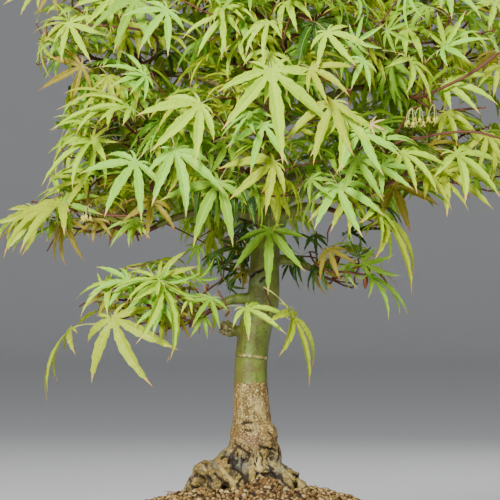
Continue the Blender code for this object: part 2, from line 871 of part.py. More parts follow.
def twig_radius(load):
    """The radius of a twig that bears this many leafy ends."""
    return TWIG_RADIUS * max(load, 1) ** PIPE_POWER


def stem_start(mass):
    """Where a mass's stem begins and its direction: at its bough's tip, or at the trunk."""
    if mass.limb:
        path, _ = bough_path(mass)
        heading = (path[-1] - path[-2]).normalized()
        return path[-1] + heading * CLEARANCE, heading
    start, radius = trunk_at(mass.fork)
    if mass.reach == 0:
        return start + Vector((0, 0, CLEARANCE)), Vector((0, 0, 1))
    heading = (mass.outward + Vector((0, 0, STEM_RISE))).normalized()
    return start + mass.outward * (radius + CLEARANCE + STEM_TILT_ROOM), heading


def build_tree():
    """The trunk, its boughs, and a mass of foliage at the end of each."""
    trunk = build_trunk()
    cutter = trunk_column("trunk_cutter", extra=CLEARANCE)
    boughs = [build_bough(mass, cutter) for mass in MASSES if mass.limb]
    remove([cutter])
    limbs = [tree_of(obj) for obj in (trunk, *boughs)]
    for seed, mass in enumerate(MASSES):
        start, heading = stem_start(mass)
        foliage = Foliage(mass, limbs, start, heading, seed)
        foliage.grow()
        foliage.leaf_out()
        foliage.build()


def main():
    """Builds every solid."""
    clear_scene()
    build_pot()
    build_soil()
    build_tree()


main()
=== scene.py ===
"""The looks of a Japanese maple grown as a bonsai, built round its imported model.

Metres, in the model's own frame: Z up, X to the right of the front view and Y to the back. Heights
in the tree's tables are measured from the level ground round the trunk's foot, and azimuths run
anticlockwise from +X. The wood, the twigs, the leaves, the soil and the pot each have a class.
"""

from __future__ import annotations

import json
import logging
import math
import random
from collections import Counter
from collections.abc import Iterable, Mapping, Sequence
from dataclasses import dataclass, field
from enum import Enum

import bmesh
import bpy
import numpy as np
from mathutils import Matrix, Vector, noise
from mathutils.bvhtree import BVHTree

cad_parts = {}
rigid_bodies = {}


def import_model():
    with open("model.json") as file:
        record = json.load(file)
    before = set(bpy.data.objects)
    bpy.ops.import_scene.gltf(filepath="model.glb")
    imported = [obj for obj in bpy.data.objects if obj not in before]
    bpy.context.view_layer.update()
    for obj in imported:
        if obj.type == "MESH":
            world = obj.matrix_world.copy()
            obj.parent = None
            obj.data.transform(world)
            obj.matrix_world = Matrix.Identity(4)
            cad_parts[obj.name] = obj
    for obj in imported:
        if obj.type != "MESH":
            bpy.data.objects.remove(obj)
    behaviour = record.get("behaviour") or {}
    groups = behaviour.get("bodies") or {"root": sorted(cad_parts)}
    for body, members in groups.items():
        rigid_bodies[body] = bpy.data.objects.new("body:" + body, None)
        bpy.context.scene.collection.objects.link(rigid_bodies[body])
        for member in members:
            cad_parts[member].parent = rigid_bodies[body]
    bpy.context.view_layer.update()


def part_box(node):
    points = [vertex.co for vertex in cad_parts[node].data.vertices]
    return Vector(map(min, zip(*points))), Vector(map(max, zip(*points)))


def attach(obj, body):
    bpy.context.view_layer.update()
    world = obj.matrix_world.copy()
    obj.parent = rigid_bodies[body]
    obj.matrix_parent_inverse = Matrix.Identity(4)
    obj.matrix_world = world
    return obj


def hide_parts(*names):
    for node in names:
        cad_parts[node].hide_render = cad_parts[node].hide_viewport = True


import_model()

BODY = "root"
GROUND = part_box("trunk")[0].z
UP = Vector((0, 0, 1))

log = logging.getLogger("bonsai")

Pair = tuple[float, float]
Triple = tuple[float, float, float]
Colour = Triple
Socket = bpy.types.NodeSocket


# Colours and node trees


def tone(red: int, green: int, blue: int) -> Colour:
    """Turns a screen colour of 0 to 255 into the linear light that shaders take."""
    shares = (red / 255, green / 255, blue / 255)
    return tuple(s / 12.92 if s <= 0.04045 else ((s + 0.055) / 1.055) ** 2.4 for s in shares)


class Slot(Enum):
    """The record's material slots."""

    STONEWARE = "stoneware"
    SOIL = "soil"
    BARK = "bark"
    YOUNG_BARK = "young_bark"
    LEAF = "leaf"


class NodeTree:
    """A node tree whose nodes all come from one method."""

    def __init__(self, tree: bpy.types.NodeTree) -> None:
        """Wraps a shader tree or a geometry tree."""
        self.tree = tree

    def node(
        self,
        kind: str,
        settings: Mapping[str, object] | None = None,
        inputs: Mapping[int | str, object] | None = None,
    ) -> bpy.types.Node:
        """Adds a node.

        Args:
            kind: The node's type.
            settings: Its own settings, set before its sockets. A ramp's are its stops.
            inputs: Values or links of its sockets, by number, identifier or name.

        Returns:
            The node.
        """
        node = self.tree.nodes.new(kind)
        for name, value in (settings or {}).items():
            if name == "stops":
                self._set_stops(node, value)
            else:
                setattr(node, name, value)
        for key, value in (inputs or {}).items():
            self.feed(self.socket(node.inputs, key), value)
        return node

    def feed(self, socket: Socket, value: object) -> None:
        """Links a socket to a value of the tree, or gives it a plain number, colour or flag."""
        source = value.socket if isinstance(value, Value) else value
        if isinstance(source, Socket):
            self.tree.links.new(source, socket)
        else:
            socket.default_value = source

    @staticmethod
    def socket(sockets: Sequence[Socket], key: int | str) -> Socket:
        """Finds a socket by its number, its identifier or its name."""
        if isinstance(key, int):
            return sockets[key]
        return next((one for one in sockets if one.identifier == key), None) or sockets[key]

    @staticmethod
    def _set_stops(node: bpy.types.Node, stops: Sequence[tuple[float, Colour]]) -> None:
        """Gives a ramp its stops, each a position and a colour."""
        elements = node.color_ramp.elements
        while len(elements) < len(stops):
            elements.new(1.0)
        for element, (position, colour) in zip(elements, stops):
            element.position = position
            element.color = (*colour, 1)


class Value:
    """A number that changes over a surface. Sums and products of it add their own nodes."""

    def __init__(self, tree: NodeTree, socket: Socket) -> None:
        """Wraps a socket of a tree."""
        self.tree = tree
        self.socket = socket

    def _math(self, operation: str, first: object, second: object = 0.0) -> Value:
        """Adds a Math node and wraps its result."""
        node = self.tree.node("ShaderNodeMath", {"operation": operation}, {0: first, 1: second})
        return Value(self.tree, node.outputs[0])

    def __add__(self, other: Value | float) -> Value:
        """The sum."""
        return self._math("ADD", self, other)

    __radd__ = __add__

    def __sub__(self, other: Value | float) -> Value:
        """The difference."""
        return self._math("SUBTRACT", self, other)

    def __rsub__(self, other: float) -> Value:
        """The difference from a plain number."""
        return self._math("SUBTRACT", other, self)

    def __mul__(self, other: Value | float) -> Value:
        """The product."""
        return self._math("MULTIPLY", self, other)

    __rmul__ = __mul__

    def __abs__(self) -> Value:
        """The size without its sign."""
        return self._math("ABSOLUTE", self)

    def rise(self, low: float, high: float) -> Value:
        """Goes smoothly from 0 at low to 1 at high, or the other way round if low is higher.

        Args:
            low: The number that gives 0.
            high: The number that gives 1.

        Returns:
            The smooth step.
        """
        turned = low > high
        inputs = {"Value": self, "From Min": min(low, high), "From Max": max(low, high)}
        inputs |= {"To Min": float(turned), "To Max": float(not turned)}
        node = self.tree.node("ShaderNodeMapRange", {"interpolation_type": "SMOOTHSTEP"}, inputs)
        return Value(self.tree, node.outputs[0])


class Scatter(NodeTree):
    """A geometry node tree that puts pattern objects on points and makes them real."""

    def __init__(self, name: str, inputs: Mapping[str, str]) -> None:
        """Starts the tree with its output and its inputs.

        Args:
            name: The tree's name.
            inputs: Its own inputs' names and kinds, beside Geometry, Patterns and Size.
        """
        super().__init__(bpy.data.node_groups.new(name, "GeometryNodeTree"))
        sockets = self.tree.interface
        sockets.new_socket("Geometry", in_out="OUTPUT", socket_type="NodeSocketGeometry")
        kinds = {"Geometry": "Geometry", "Patterns": "Collection", "Size": "Float"}
        for key, kind in (kinds | dict(inputs)).items():
            sockets.new_socket(key, in_out="INPUT", socket_type=f"NodeSocket{kind}")
        self.given = self.node("NodeGroupInput").outputs

    def drawn(self, kind: str, low: object, high: object, seed: object) -> Socket:
        """A number, whole number or vector drawn for each point between two limits."""
        ending = {"FLOAT_VECTOR": "", "FLOAT": "_001", "INT": "_002"}[kind]
        inputs = {"Min" + ending: low, "Max" + ending: high, "Seed": seed}
        node = self.node("FunctionNodeRandomValue", {"data_type": kind}, inputs)
        return self.socket(node.outputs, "Value" + ending)

    def copies(
        self,
        points: Socket,
        number: Socket,
        turn: Socket,
        size: Socket,
    ) -> Socket:
        """Puts a pattern on each point.

        Args:
            points: The points.
            number: Which pattern each gets.
            turn: How it is turned.
            size: Its share of the input Size.

        Returns:
            The patterns as real geometry.
        """
        inputs = {"Collection": self.given["Patterns"]}
        inputs |= {"Separate Children": True, "Reset Children": True}
        patterns = self.node("GeometryNodeCollectionInfo", {}, inputs)
        scale = self.node("ShaderNodeMath", {"operation": "MULTIPLY"}, {0: size, 1: self.given["Size"]})
        inputs = {"Points": points, "Instance": patterns.outputs[0], "Pick Instance": True}
        inputs |= {"Instance Index": number, "Rotation": turn, "Scale": scale.outputs[0]}
        placed = self.node("GeometryNodeInstanceOnPoints", {}, inputs)
        return self.node("GeometryNodeRealizeInstances", {}, {0: placed.outputs[0]}).outputs[0]

    def run(self, bed: bpy.types.Object, inputs: Mapping[str, object], name: str) -> bpy.types.Object:
        """Runs the tree on an object.

        Args:
            bed: The object, which is used up.
            inputs: Values of the tree's inputs, by name.
            name: The new object's name.

        Returns:
            The result as a plain mesh.
        """
        modifier = bed.modifiers.new("scatter", "NODES")
        modifier.node_group = self.tree
        for key, value in inputs.items():
            modifier[self.tree.interface.items_tree[key].identifier] = value
        return applied(bed, name)


class Patterns:
    """A collection, out of the scene, of the objects that a scatter copies."""

    def __init__(self, name: str, objects: Iterable[bpy.types.Object]) -> None:
        """Moves the objects from the scene into the collection."""
        self.collection = bpy.data.collections.new(name)
        for obj in objects:
            bpy.context.scene.collection.objects.unlink(obj)
            self.collection.objects.link(obj)

    def clear(self) -> None:
        """Removes the objects and their collection."""
        for obj in list(self.collection.objects):
            bpy.data.objects.remove(obj, do_unlink=True)
        bpy.data.collections.remove(self.collection)


class Shader(NodeTree):
    """A material's node tree, on the piece's Object coordinates."""

    def __init__(self, name: str) -> None:
        """Starts a material with its Principled shader.

        Args:
            name: The material's name.
        """
        self.material = bpy.data.materials.new(name)
        self.material.use_nodes = True
        super().__init__(self.material.node_tree)
        self.surface = self.tree.nodes["Principled BSDF"]
        self.place = self.node("ShaderNodeTexCoord").outputs["Object"]

    def axis(self, name: str) -> Value:
        """One of the coordinates, X, Y or Z."""
        parts = self.node("ShaderNodeSeparateXYZ", {}, {0: self.place})
        return Value(self, parts.outputs[name])

    def attribute(self, name: str) -> Value:
        """One of the piece's own attributes, a number at each point."""
        node = self.node("ShaderNodeAttribute", {"attribute_name": name})
        return Value(self, node.outputs["Fac"])

    def moved(self, centre: Vector, stretch: Sequence[float] = (1, 1, 1)) -> Socket:
        """The coordinates measured from a centre and stretched along each axis."""
        place = self.place
        for operation, by in (("SUBTRACT", centre), ("MULTIPLY", stretch)):
            inputs = {0: place, 1: tuple(by)}
            place = self.node("ShaderNodeVectorMath", {"operation": operation}, inputs).outputs[0]
        return place

    def clouds(
        self,
        scale: float,
        detail: float = 3.0,
        roughness: float = 0.55,
        stretch: Sequence[float] = (1, 1, 1),
        distortion: float = 0.0,
    ) -> Value:
        """Soft noise around 0.5.

        Args:
            scale: Blots in a metre.
            detail: Octaves.
            roughness: How much the fine octaves count.
            stretch: Blots along each axis for each one of scale.
            distortion: How far the blots are stirred.

        Returns:
            The noise.
        """
        inputs = {"Vector": self.moved(Vector(), stretch), "Scale": scale, "Detail": detail}
        inputs |= {"Roughness": roughness, "Distortion": distortion}
        return Value(self, self.node("ShaderNodeTexNoise", {}, inputs).outputs[0])

    def cells(self, scale: float, stretch: Sequence[float] = (1, 1, 1)) -> Value:
        """The distance to the nearest of scattered points, for specks and pits."""
        inputs = {"Vector": self.moved(Vector(), stretch), "Scale": scale}
        return Value(self, self.node("ShaderNodeTexVoronoi", {}, inputs).outputs["Distance"])

    def spot(self, x: float, y: float, height: float, radii: Sequence[float]) -> Value:
        """A mask that is 1 in the middle of an oval blob over the ground and 0 from its edge on."""
        offset = self.moved(Vector((x, y, GROUND + height)), [1 / radius for radius in radii])
        length = self.node("ShaderNodeVectorMath", {"operation": "LENGTH"}, {0: offset})
        return Value(self, length.outputs["Value"]).rise(1.0, 0.0)

    def mix(self, share: Value, first: object, second: object) -> Socket:
        """Blends two colours: the first at a share of 0 and the second at 1."""
        below, above = ((*c, 1) if isinstance(c, tuple) else c for c in (first, second))
        inputs = {"Factor_Float": share, "A_Color": below, "B_Color": above}
        node = self.node("ShaderNodeMix", {"data_type": "RGBA"}, inputs)
        return self.socket(node.outputs, "Result_Color")

    def layers(self, base: object, *coats: tuple[Value, object]) -> Socket:
        """Paints coats over a base colour, each with the mask of where it lies."""
        for share, colour in coats:
            base = self.mix(share, base, colour)
        return base

    def bump(self, height: Value, depth: float) -> None:
        """Roughens the surface by a height map whose full range is a depth in metres."""
        inputs = {"Height": height, "Distance": depth, "Strength": 1.0}
        bumped = self.node("ShaderNodeBump", {}, inputs)
        self.set({"Normal": bumped.outputs[0]})

    def set(self, inputs: Mapping[str, object]) -> None:
        """Sets or links sockets of the Principled shader."""
        for name, value in inputs.items():
            self.feed(self.surface.inputs[name], value)


# Finishes


@dataclass(frozen=True)
class PlainFinish:
    """A finish of one colour, for leaves, stalks and grains, with a little unevenness if wanted."""

    name: str
    colour: Colour
    roughness: float = 0.5
    shine: float = 0.4
    unevenness: float = 0.0

    def material(self) -> bpy.types.Material:
        """The finish as a material, made the first time it is asked for.

        Returns:
            The material.
        """
        if self.name in bpy.data.materials:
            return bpy.data.materials[self.name]
        shader = Shader(self.name)
        colour = (*self.colour, 1)
        shader.set({"Base Color": colour, "Roughness": self.roughness, "Specular IOR Level": self.shine})
        if self.unevenness:
            shader.bump(shader.clouds(330, detail=2), self.unevenness)
        return shader.material


@dataclass(frozen=True)
class BarkFinish:
    """Maple bark: tan and cracked at the foot, and smooth and green above an uneven line.

    The wood's attribute for how deep a point lies in a crevice, 0 on its skin and 1 deep in one, darkens
    the crevices with painted shade; below 0, on a welt, it lightens them with a painted highlight.
    """

    name: str = "bark"
    green_from: float = 0.0632
    line_wobble: float = 0.0035
    ring_height: float = 0.0790
    ring_slope: float = -0.11
    ring_width: float = 0.0007
    foot_height: float = 0.034
    tan: Colour = tone(140, 118, 54)
    ochre: Colour = tone(106, 80, 26)
    amber: Colour = tone(118, 80, 20)
    cream: Colour = tone(206, 184, 116)
    bright: Colour = tone(228, 206, 142)
    umber: Colour = tone(36, 25, 12)
    loam: Colour = tone(100, 82, 42)
    green: Colour = tone(104, 122, 34)
    olive: Colour = tone(96, 92, 34)
    moss: Colour = tone(62, 76, 24)
    pale: Colour = tone(196, 176, 116)
    sage: Colour = tone(112, 124, 80)
    plum: Colour = tone(118, 76, 58)
    lichen: Colour = tone(94, 98, 84)
    russet: Colour = tone(96, 58, 36)

    def material(self) -> bpy.types.Material:
        """The finish as a material.

        Returns:
            The material.
        """
        shader = Shader(self.name)
        height = shader.axis("Z") - GROUND
        blots = shader.clouds(110, detail=4)
        streaks = shader.clouds(300, detail=4, stretch=(1, 1, 0.22))
        fine = shader.clouds(1300, detail=2, roughness=0.7)
        level = height + (blots - 0.5) * self.line_wobble
        line = level.rise(self.green_from - 0.0007, self.green_from + 0.0007)
        ring_at = height - shader.axis("X") * self.ring_slope - self.ring_height
        ring_at = ring_at + (fine - 0.5) * 0.0022 + (streaks - 0.5) * 0.0016
        ring = abs(ring_at) - (streaks - 0.5) * 0.004
        ring = ring.rise(self.ring_width * 1.2, self.ring_width * 0.3)
        # A painted shadow: a dark line just under the raised ring.
        shadow_under_ring = abs(ring_at + self.ring_width * 1.7).rise(self.ring_width, 0.0)
        specks = shader.cells(430).rise(0.24, 0.12) * blots.rise(0.48, 0.58)
        dots = shader.cells(640).rise(0.2, 0.1) * streaks.rise(0.5, 0.58)
        hollow = shader.attribute("hollow")
        colour = shader.layers(
            self._old_bark(shader, height, blots, streaks, fine),
            (line, self._young_bark(shader, height, blots, streaks, fine)),
            # Painted shadow under the ring.
            (shadow_under_ring * 0.5, self.umber),
            (ring * (fine * 2.2 - 0.35), shader.mix(streaks.rise(0.44, 0.56), self.plum, self.pale)),
            (specks * 0.8, self.umber),
            (dots * 0.75, self.pale),
            # Painted shade deep in the crevices and creases, and a painted highlight in cream on the
            # raised welts.
            (hollow.rise(0.0, 0.8), self.umber),
            (hollow.rise(-0.2, -0.9) * fine.rise(0.36, 0.56) * 0.7, self.cream),
        )
        shader.set({"Base Color": colour, "Roughness": 0.62 - blots * 0.25, "Specular IOR Level": 0.4})
        shader.bump(streaks * 0.4 + fine * (1 - line * 0.75) * 0.7 - specks * 0.3, 0.0009)
        return shader.material

    def _old_bark(
        self, shader: Shader, height: Value, blots: Value, streaks: Value, fine: Value
    ) -> Socket:
        """The lower bark's colour: stippled tan, amber painted shade at the sides, and a patchy foot.

        Args:
            shader: The bark's node tree.
            height: Metres above the ground.
            blots: The widest noise.
            streaks: The noise drawn out along the trunk.
            fine: The finest noise.

        Returns:
            The colour.
        """
        # Painted shade: the lower trunk's left and right flanks, where it turns away from the front, go
        # amber.
        edge = abs(shader.axis("X") + 0.0022 + (streaks - 0.5) * 0.004).rise(0.0062, 0.0092)
        flakes = shader.clouds(860, detail=3, roughness=0.75, stretch=(1, 1, 0.7), distortion=0.5)
        sheen = shader.spot(0.002, -0.012, 0.045, (0.0065, 0.03, 0.016)) * blots.rise(0.35, 0.6)
        plum = shader.spot(-0.0030, -0.014, 0.0288, (0.013, 0.02, 0.0085)) * fine.rise(0.62, 0.50)
        mottle = shader.clouds(380, detail=4, roughness=0.7, distortion=1.2)
        dirt = shader.layers(
            self.loam,
            (mottle.rise(0.44, 0.54), self.tan),
            (mottle.rise(0.55, 0.64) * 0.75, self.cream),
            (mottle.rise(0.44, 0.36) * 0.8, self.umber),
            (fine.rise(0.58, 0.66) * 0.6, self.cream),
        )
        foot = height.rise(self.foot_height, 0.014)
        shoulder = shader.spot(-0.0225, -0.012, 0.0150, (0.0120, 0.03, 0.0060))
        lichen = shader.spot(-0.0095, -0.014, 0.0150, (0.0085, 0.03, 0.0080))
        patches = shader.clouds(75, detail=5).rise(0.57, 0.64) * foot
        bright = shader.spot(0.0036, -0.016, 0.0140, (0.0105, 0.03, 0.0075)) * streaks.rise(0.46, 0.54)
        return shader.layers(
            self.ochre,
            (streaks.rise(0.40, 0.60), self.tan),
            # Amber painted shade on the flanks.
            (edge * height.rise(0.022, 0.032) * 0.8, self.amber),
            (fine.rise(0.52, 0.62) * blots.rise(0.3, 0.6) * 0.8, self.cream),
            (fine.rise(0.46, 0.38) * 0.75, self.umber),
            (flakes.rise(0.46, 0.35) * 0.8, self.umber),
            (flakes.rise(0.55, 0.66) * 0.9, self.bright),
            (sheen * 0.7, self.cream),
            (plum * 0.9, self.plum),
            (foot * 0.9, dirt),
            (shoulder * streaks.rise(0.36, 0.56) * 0.8, self.amber),
            ((lichen * 1.6 + patches * 0.7) * fine.rise(0.66, 0.46), self.lichen),
            (bright * 1.3, self.cream),
        )

    def _young_bark(
        self, shader: Shader, height: Value, blots: Value, streaks: Value, fine: Value
    ) -> Socket:
        """The young bark's colour: green with olive and mossy clouds, olive painted shade on its flanks,
        and russet high up.

        Args:
            shader: The bark's node tree.
            height: Metres above the ground.
            blots: The widest noise.
            streaks: The noise drawn out along the trunk.
            fine: The finest noise.

        Returns:
            The colour.
        """
        # Painted shade: the young trunk's left and right flanks go a duller olive.
        side = abs(shader.axis("X") - 0.001).rise(0.006, 0.0098) * height.rise(0.115, 0.09)
        sheen = shader.spot(0.0005, -0.012, 0.121, (0.0075, 0.02, 0.016)) * blots.rise(0.40, 0.55)
        collar = shader.spot(-0.0005, -0.010, 0.132, (0.0065, 0.02, 0.0080)) * fine.rise(0.40, 0.60)
        knob = shader.spot(-0.0205, -0.003, 0.0955, (0.0125, 0.012, 0.0095)).rise(0.1, 0.5)
        rough = shader.layers(
            self.ochre,
            (fine.rise(0.40, 0.54), self.sage),
            (fine.rise(0.54, 0.62) * 0.9, self.cream),
            (fine.rise(0.42, 0.34), self.umber),
        )
        return shader.layers(
            self.olive,
            (blots.rise(0.40, 0.60), self.green),
            (streaks.rise(0.5, 0.62) * 0.6, self.moss),
            (fine.rise(0.58, 0.70) * 0.3, self.pale),
            (fine.rise(0.42, 0.34) * 0.5, self.moss),
            # Olive painted shade on the flanks.
            (side * 0.6, self.olive),
            (sheen * 1.2, self.sage),
            (collar, self.ochre),
            (knob, rough),
            (height.rise(0.19, 0.30) * 0.75, self.russet),
        )


@dataclass(frozen=True)
class StonewareFinish:
    """Unglazed fired clay: warm brown with dark specks, and a little lime near the foot."""

    name: str = "stoneware"
    body: Colour = tone(112, 78, 60)
    shade: Colour = tone(84, 58, 46)
    iron: Colour = tone(44, 32, 28)
    lime: Colour = tone(170, 156, 138)

    def material(self) -> bpy.types.Material:
        """The finish as a material.

        Returns:
            The material.
        """
        shader = Shader(self.name)
        blots = shader.clouds(28, detail=4)
        grain = shader.clouds(1900, detail=2)
        turning = shader.clouds(60, detail=2, stretch=(0.12, 0.12, 5))
        low = shader.axis("Z").rise(0.016, 0.004) * blots.rise(0.4, 0.6)
        colour = shader.layers(
            self.shade,
            (blots.rise(0.35, 0.65), self.body),
            (shader.cells(520).rise(0.17, 0.08) * 0.8, self.iron),
            (low * 0.5 + grain.rise(0.7, 0.85) * 0.3, self.lime),
        )
        shader.set({"Base Color": colour, "Roughness": 0.82 - blots * 0.25, "Specular IOR Level": 0.3})
        shader.bump(grain * 0.4 + turning * 0.6, 0.0005)
        return shader.material


@dataclass(frozen=True)
class SoilFinish:
    """Damp clay soil between the grains."""

    name: str = "soil"
    earth: Colour = tone(98, 70, 38)
    dark: Colour = tone(38, 26, 14)

    def material(self) -> bpy.types.Material:
        """The finish as a material."""
        shader = Shader(self.name)
        crumbs = shader.clouds(420, detail=4)
        colour = shader.mix(crumbs.rise(0.4, 0.62), self.dark, self.earth)
        shader.set({"Base Color": colour, "Roughness": 0.95})
        shader.bump(crumbs, 0.0015)
        return shader.material


class Tint(Enum):
    """The leaves' colours: each a blade, and the tips of its lobes; the deep one is painted shade."""

    LIME = (tone(166, 202, 40), tone(208, 182, 84))
    GOLDEN = (tone(160, 178, 30), tone(198, 160, 64))
    FRESH = (tone(126, 170, 38), tone(174, 176, 64))
    # Painted shade: the dark green for leaves inside the crown and in the shade behind the trunk.
    DEEP = (tone(54, 90, 20), tone(92, 118, 36))
    MINT = (tone(142, 198, 58), tone(202, 190, 94))
    BRONZE = (tone(140, 126, 38), tone(164, 96, 56))
    CREAM = (tone(204, 180, 108), tone(200, 132, 98))

    def finish(self, part: Zone) -> PlainFinish:
        """The finish of a part of the leaf.

        Args:
            part: The blade, a tip or a vein.

        Returns:
            The finish.
        """
        name = self.name.lower()
        blade, tip = self.value
        if part is Zone.TIP:
            return PlainFinish(f"leaf_tip_{name}", tip, 0.5, 0.3, 0.0012)
        if part is Zone.VEIN:
            vein = tuple((a + b) / 2 for a, b in zip(blade, VEIN))
            return PlainFinish(f"leaf_vein_{name}", vein, 0.5, 0.3)
        return PlainFinish(f"leaf_{name}", blade, 0.44, 0.24, 0.0012)

    @property
    def number(self) -> int:
        """The tint's place in the list."""
        return list(Tint).index(self)


VEIN = tone(176, 188, 66)
STALK = PlainFinish("leaf_stalk", tone(172, 176, 96), 0.5)
TWIG_BARK = PlainFinish("twig_bark", tone(96, 52, 32), 0.6)
BLOSSOM = PlainFinish("blossom", tone(204, 194, 84), 0.6)
BUD = PlainFinish("bud", tone(112, 58, 34), 0.5)
FIBRE = PlainFinish("soil_fibre", tone(150, 118, 70), 0.9, 0.2)
GRAINS = (
    PlainFinish("grain_brown", tone(122, 94, 54), 0.95, 0.15),
    PlainFinish("grain_ochre", tone(156, 128, 76), 0.95, 0.15),
    PlainFinish("grain_dark", tone(58, 42, 22), 0.95, 0.15),
    PlainFinish("grain_pale", tone(186, 166, 118), 0.9, 0.2),
)
STUDIO = PlainFinish("studio", (0.76, 0.76, 0.75), 0.9, 0.1)


# Meshes


def linked(name: str, data: bpy.types.ID) -> bpy.types.Object:
    """Makes an object of a mesh, a lamp or a camera, and links it to the scene."""
    obj = bpy.data.objects.new(name, data)
    bpy.context.scene.collection.objects.link(obj)
    return obj


def mesh_object(
    name: str,
    points: Sequence[Sequence[float]],
    faces: Sequence[Sequence[int]],
    materials: Iterable[bpy.types.Material] = (),
) -> bpy.types.Object:
    """Makes a smooth object from points and faces.

    Args:
        name: The object's name.
        points: The corners.
        faces: The faces, as corner numbers.
        materials: The material slots.

    Returns:
        The object, linked to the scene.
    """
    mesh = bpy.data.meshes.new(name)
    mesh.from_pydata([tuple(point) for point in points], [], faces)
    for material in materials:
        mesh.materials.append(material)
    mesh.shade_smooth()
    mesh.update()
    return linked(name, mesh)


def applied(obj: bpy.types.Object, name: str) -> bpy.types.Object:
    """Turns an object with modifiers into a plain mesh under a name, and removes the old one.

    Args:
        obj: The object to evaluate.
        name: The new object's name.

    Returns:
        The plain object.
    """
    bpy.context.view_layer.update()
    graph = bpy.context.evaluated_depsgraph_get()
    mesh = bpy.data.meshes.new_from_object(obj.evaluated_get(graph))
    bpy.data.objects.remove(obj, do_unlink=True)
    mesh.name = name
    return linked(name, mesh)


def keep(piece: bpy.types.Object, slot: Slot, *nodes: str) -> None:
    """Makes a finished piece ride on the tree's body, and hides the nodes it replaces.

    Args:
        piece: The finished object.
        slot: The record's material slot; not used.
        nodes: The solids that the piece stands for.
    """
    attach(piece, BODY)
    if nodes:
        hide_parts(*nodes)
    log.info("%s: %d faces", piece.name, len(piece.data.polygons))


class Shell:
    """Points and faces that are gathered into one mesh."""

    def __init__(self) -> None:
        """Starts empty."""
        self.points: list[Vector] = []
        self.faces: list[tuple[int, ...]] = []

    def loft(self, rings: Sequence[Sequence[Vector]]) -> None:
        """Adds a closed tube through rings of points, with a flat end at each side.

        Args:
            rings: The rings, all with as many points.
        """
        first = len(self.points)
        sides = len(rings[0])
        for ring in rings:
            self.points += ring
        self.faces += ring_faces(len(rings), sides, first)
        last = first + (len(rings) - 1) * sides
        self.faces.append(tuple(first + i for i in reversed(range(sides))))
        self.faces.append(tuple(last + i for i in range(sides)))

    def tube(self, path: Sequence[Vector], radii: Sequence[float], sides: int) -> None:
        """Adds a tapering limb along a path, with no twist.

        Args:
            path: Points along its middle.
            radii: The radius at each.
            sides: Sides round it.
        """
        ways = [(after - point).normalized() for point, after in zip(path, path[1:])]
        ways = [ways[0], *ways, ways[-1]]
        side = side_of(ways[0])
        rings = []
        for i, point in enumerate(path):
            ahead = (ways[i] + ways[i + 1]).normalized()
            side = (side - ahead * side.dot(ahead)).normalized()
            rings.append(ring_round(point, ahead, side, radii[i], sides))
        self.loft(rings)

    def ball(self, centre: Vector, radii: Sequence[float], rings: int, sides: int) -> None:
        """Adds a closed oval ball.

        Args:
            centre: Its middle.
            radii: Its half sizes along X, Y and Z.
            rings: How many bands it has from pole to pole.
            sides: Sides round it.
        """
        first = len(self.points)
        self.points.append(centre - Vector((0, 0, radii[2])))
        for k in range(1, rings):
            level = math.pi * k / rings
            for i in range(sides):
                turn = math.tau * i / sides
                across = math.sin(level)
                x, y = radii[0] * across * math.cos(turn), radii[1] * across * math.sin(turn)
                self.points.append(centre + Vector((x, y, -radii[2] * math.cos(level))))
        self.points.append(centre + Vector((0, 0, radii[2])))
        last = len(self.points) - 1
        for i in range(sides):
            j = (i + 1) % sides
            self.faces.append((first, first + 1 + j, first + 1 + i))
            for k in range(rings - 2):
                low, high = first + 1 + k * sides, first + 1 + (k + 1) * sides
                self.faces.append((low + i, low + j, high + j, high + i))
            top = last - sides
            self.faces.append((top + i, top + j, last))

    def object(self, name: str, finish: object) -> bpy.types.Object:
        """The shell as an object in a finish."""
        return mesh_object(name, self.points, self.faces, [finish.material()])


def ring_faces(count: int, sides: int, first: int = 0) -> list[tuple[int, ...]]:
    """The faces between rings of points, by the number of rings, their sides and the first point."""
    faces = []
    for low in range(first, first + (count - 1) * sides, sides):
        for i in range(sides):
            j = (i + 1) % sides
            faces.append((low + i, low + j, low + sides + j, low + sides + i))
    return faces


def side_of(direction: Vector) -> Vector:
    """A unit vector square to a direction."""
    helper = Vector((1, 0, 0)) if abs(direction.z) > 0.8 else UP
    return helper.cross(direction).normalized()


def ring_round(
    centre: Vector, ahead: Vector, side: Vector, radius: float, sides: int
) -> list[Vector]:
    """Points of a circle round a centre, square to the way ahead, starting at a side."""
    top = ahead.cross(side)
    turns = [math.tau * i / sides for i in range(sides)]
    return [centre + side * (radius * math.cos(a)) + top * (radius * math.sin(a)) for a in turns]


def bent(start: Vector, corner: Vector, end: Vector, count: int) -> list[Vector]:
    """Points along the curve that leaves start towards corner and arrives at end from it."""
    shares = [i / (count - 1) for i in range(count)]
    return [start * (1 - t) ** 2 + corner * (2 * t * (1 - t)) + end * t**2 for t in shares]


def curved(start: object, end: object, leaving: object, arriving: object, t: float) -> object:
    """A place, or a number, on the smooth curve between two, by how it leaves and arrives."""
    return (
        start * (2 * t**3 - 3 * t**2 + 1)
        + leaving * (t**3 - 2 * t**2 + t)
        + end * (3 * t**2 - 2 * t**3)
        + arriving * (t**3 - t**2)
    )


def compass(turn: float, rise: float = 0.0) -> Vector:
    """The way out at an angle round the trunk, in radians, with a rise over its unit length."""
    return Vector((math.cos(turn), math.sin(turn), rise))


def clamped(share: float) -> float:
    """A share kept between 0 and 1."""
    return min(max(share, 0), 1)


def oval(
    half_length: float, half_width: float, height: float, sides: int, squareness: float
) -> list[Vector]:
    """A ring of points round an oval whose sides are a little straightened.

    Args:
        half_length: Half its size along X.
        half_width: Half its size along Y.
        height: The ring's level.
        sides: How many points it has.
        squareness: 2 for a true ellipse, and more for straighter sides.

    Returns:
        The points.
    """
    points = []
    for i in range(sides):
        turn = math.tau * i / sides
        across, along = math.cos(turn), math.sin(turn)
        x = math.copysign(abs(across) ** (2 / squareness), across) * half_length
        y = math.copysign(abs(along) ** (2 / squareness), along) * half_width
        points.append(Vector((x, y, height)))
    return points


# The tree's plan, which the wood and the foliage share


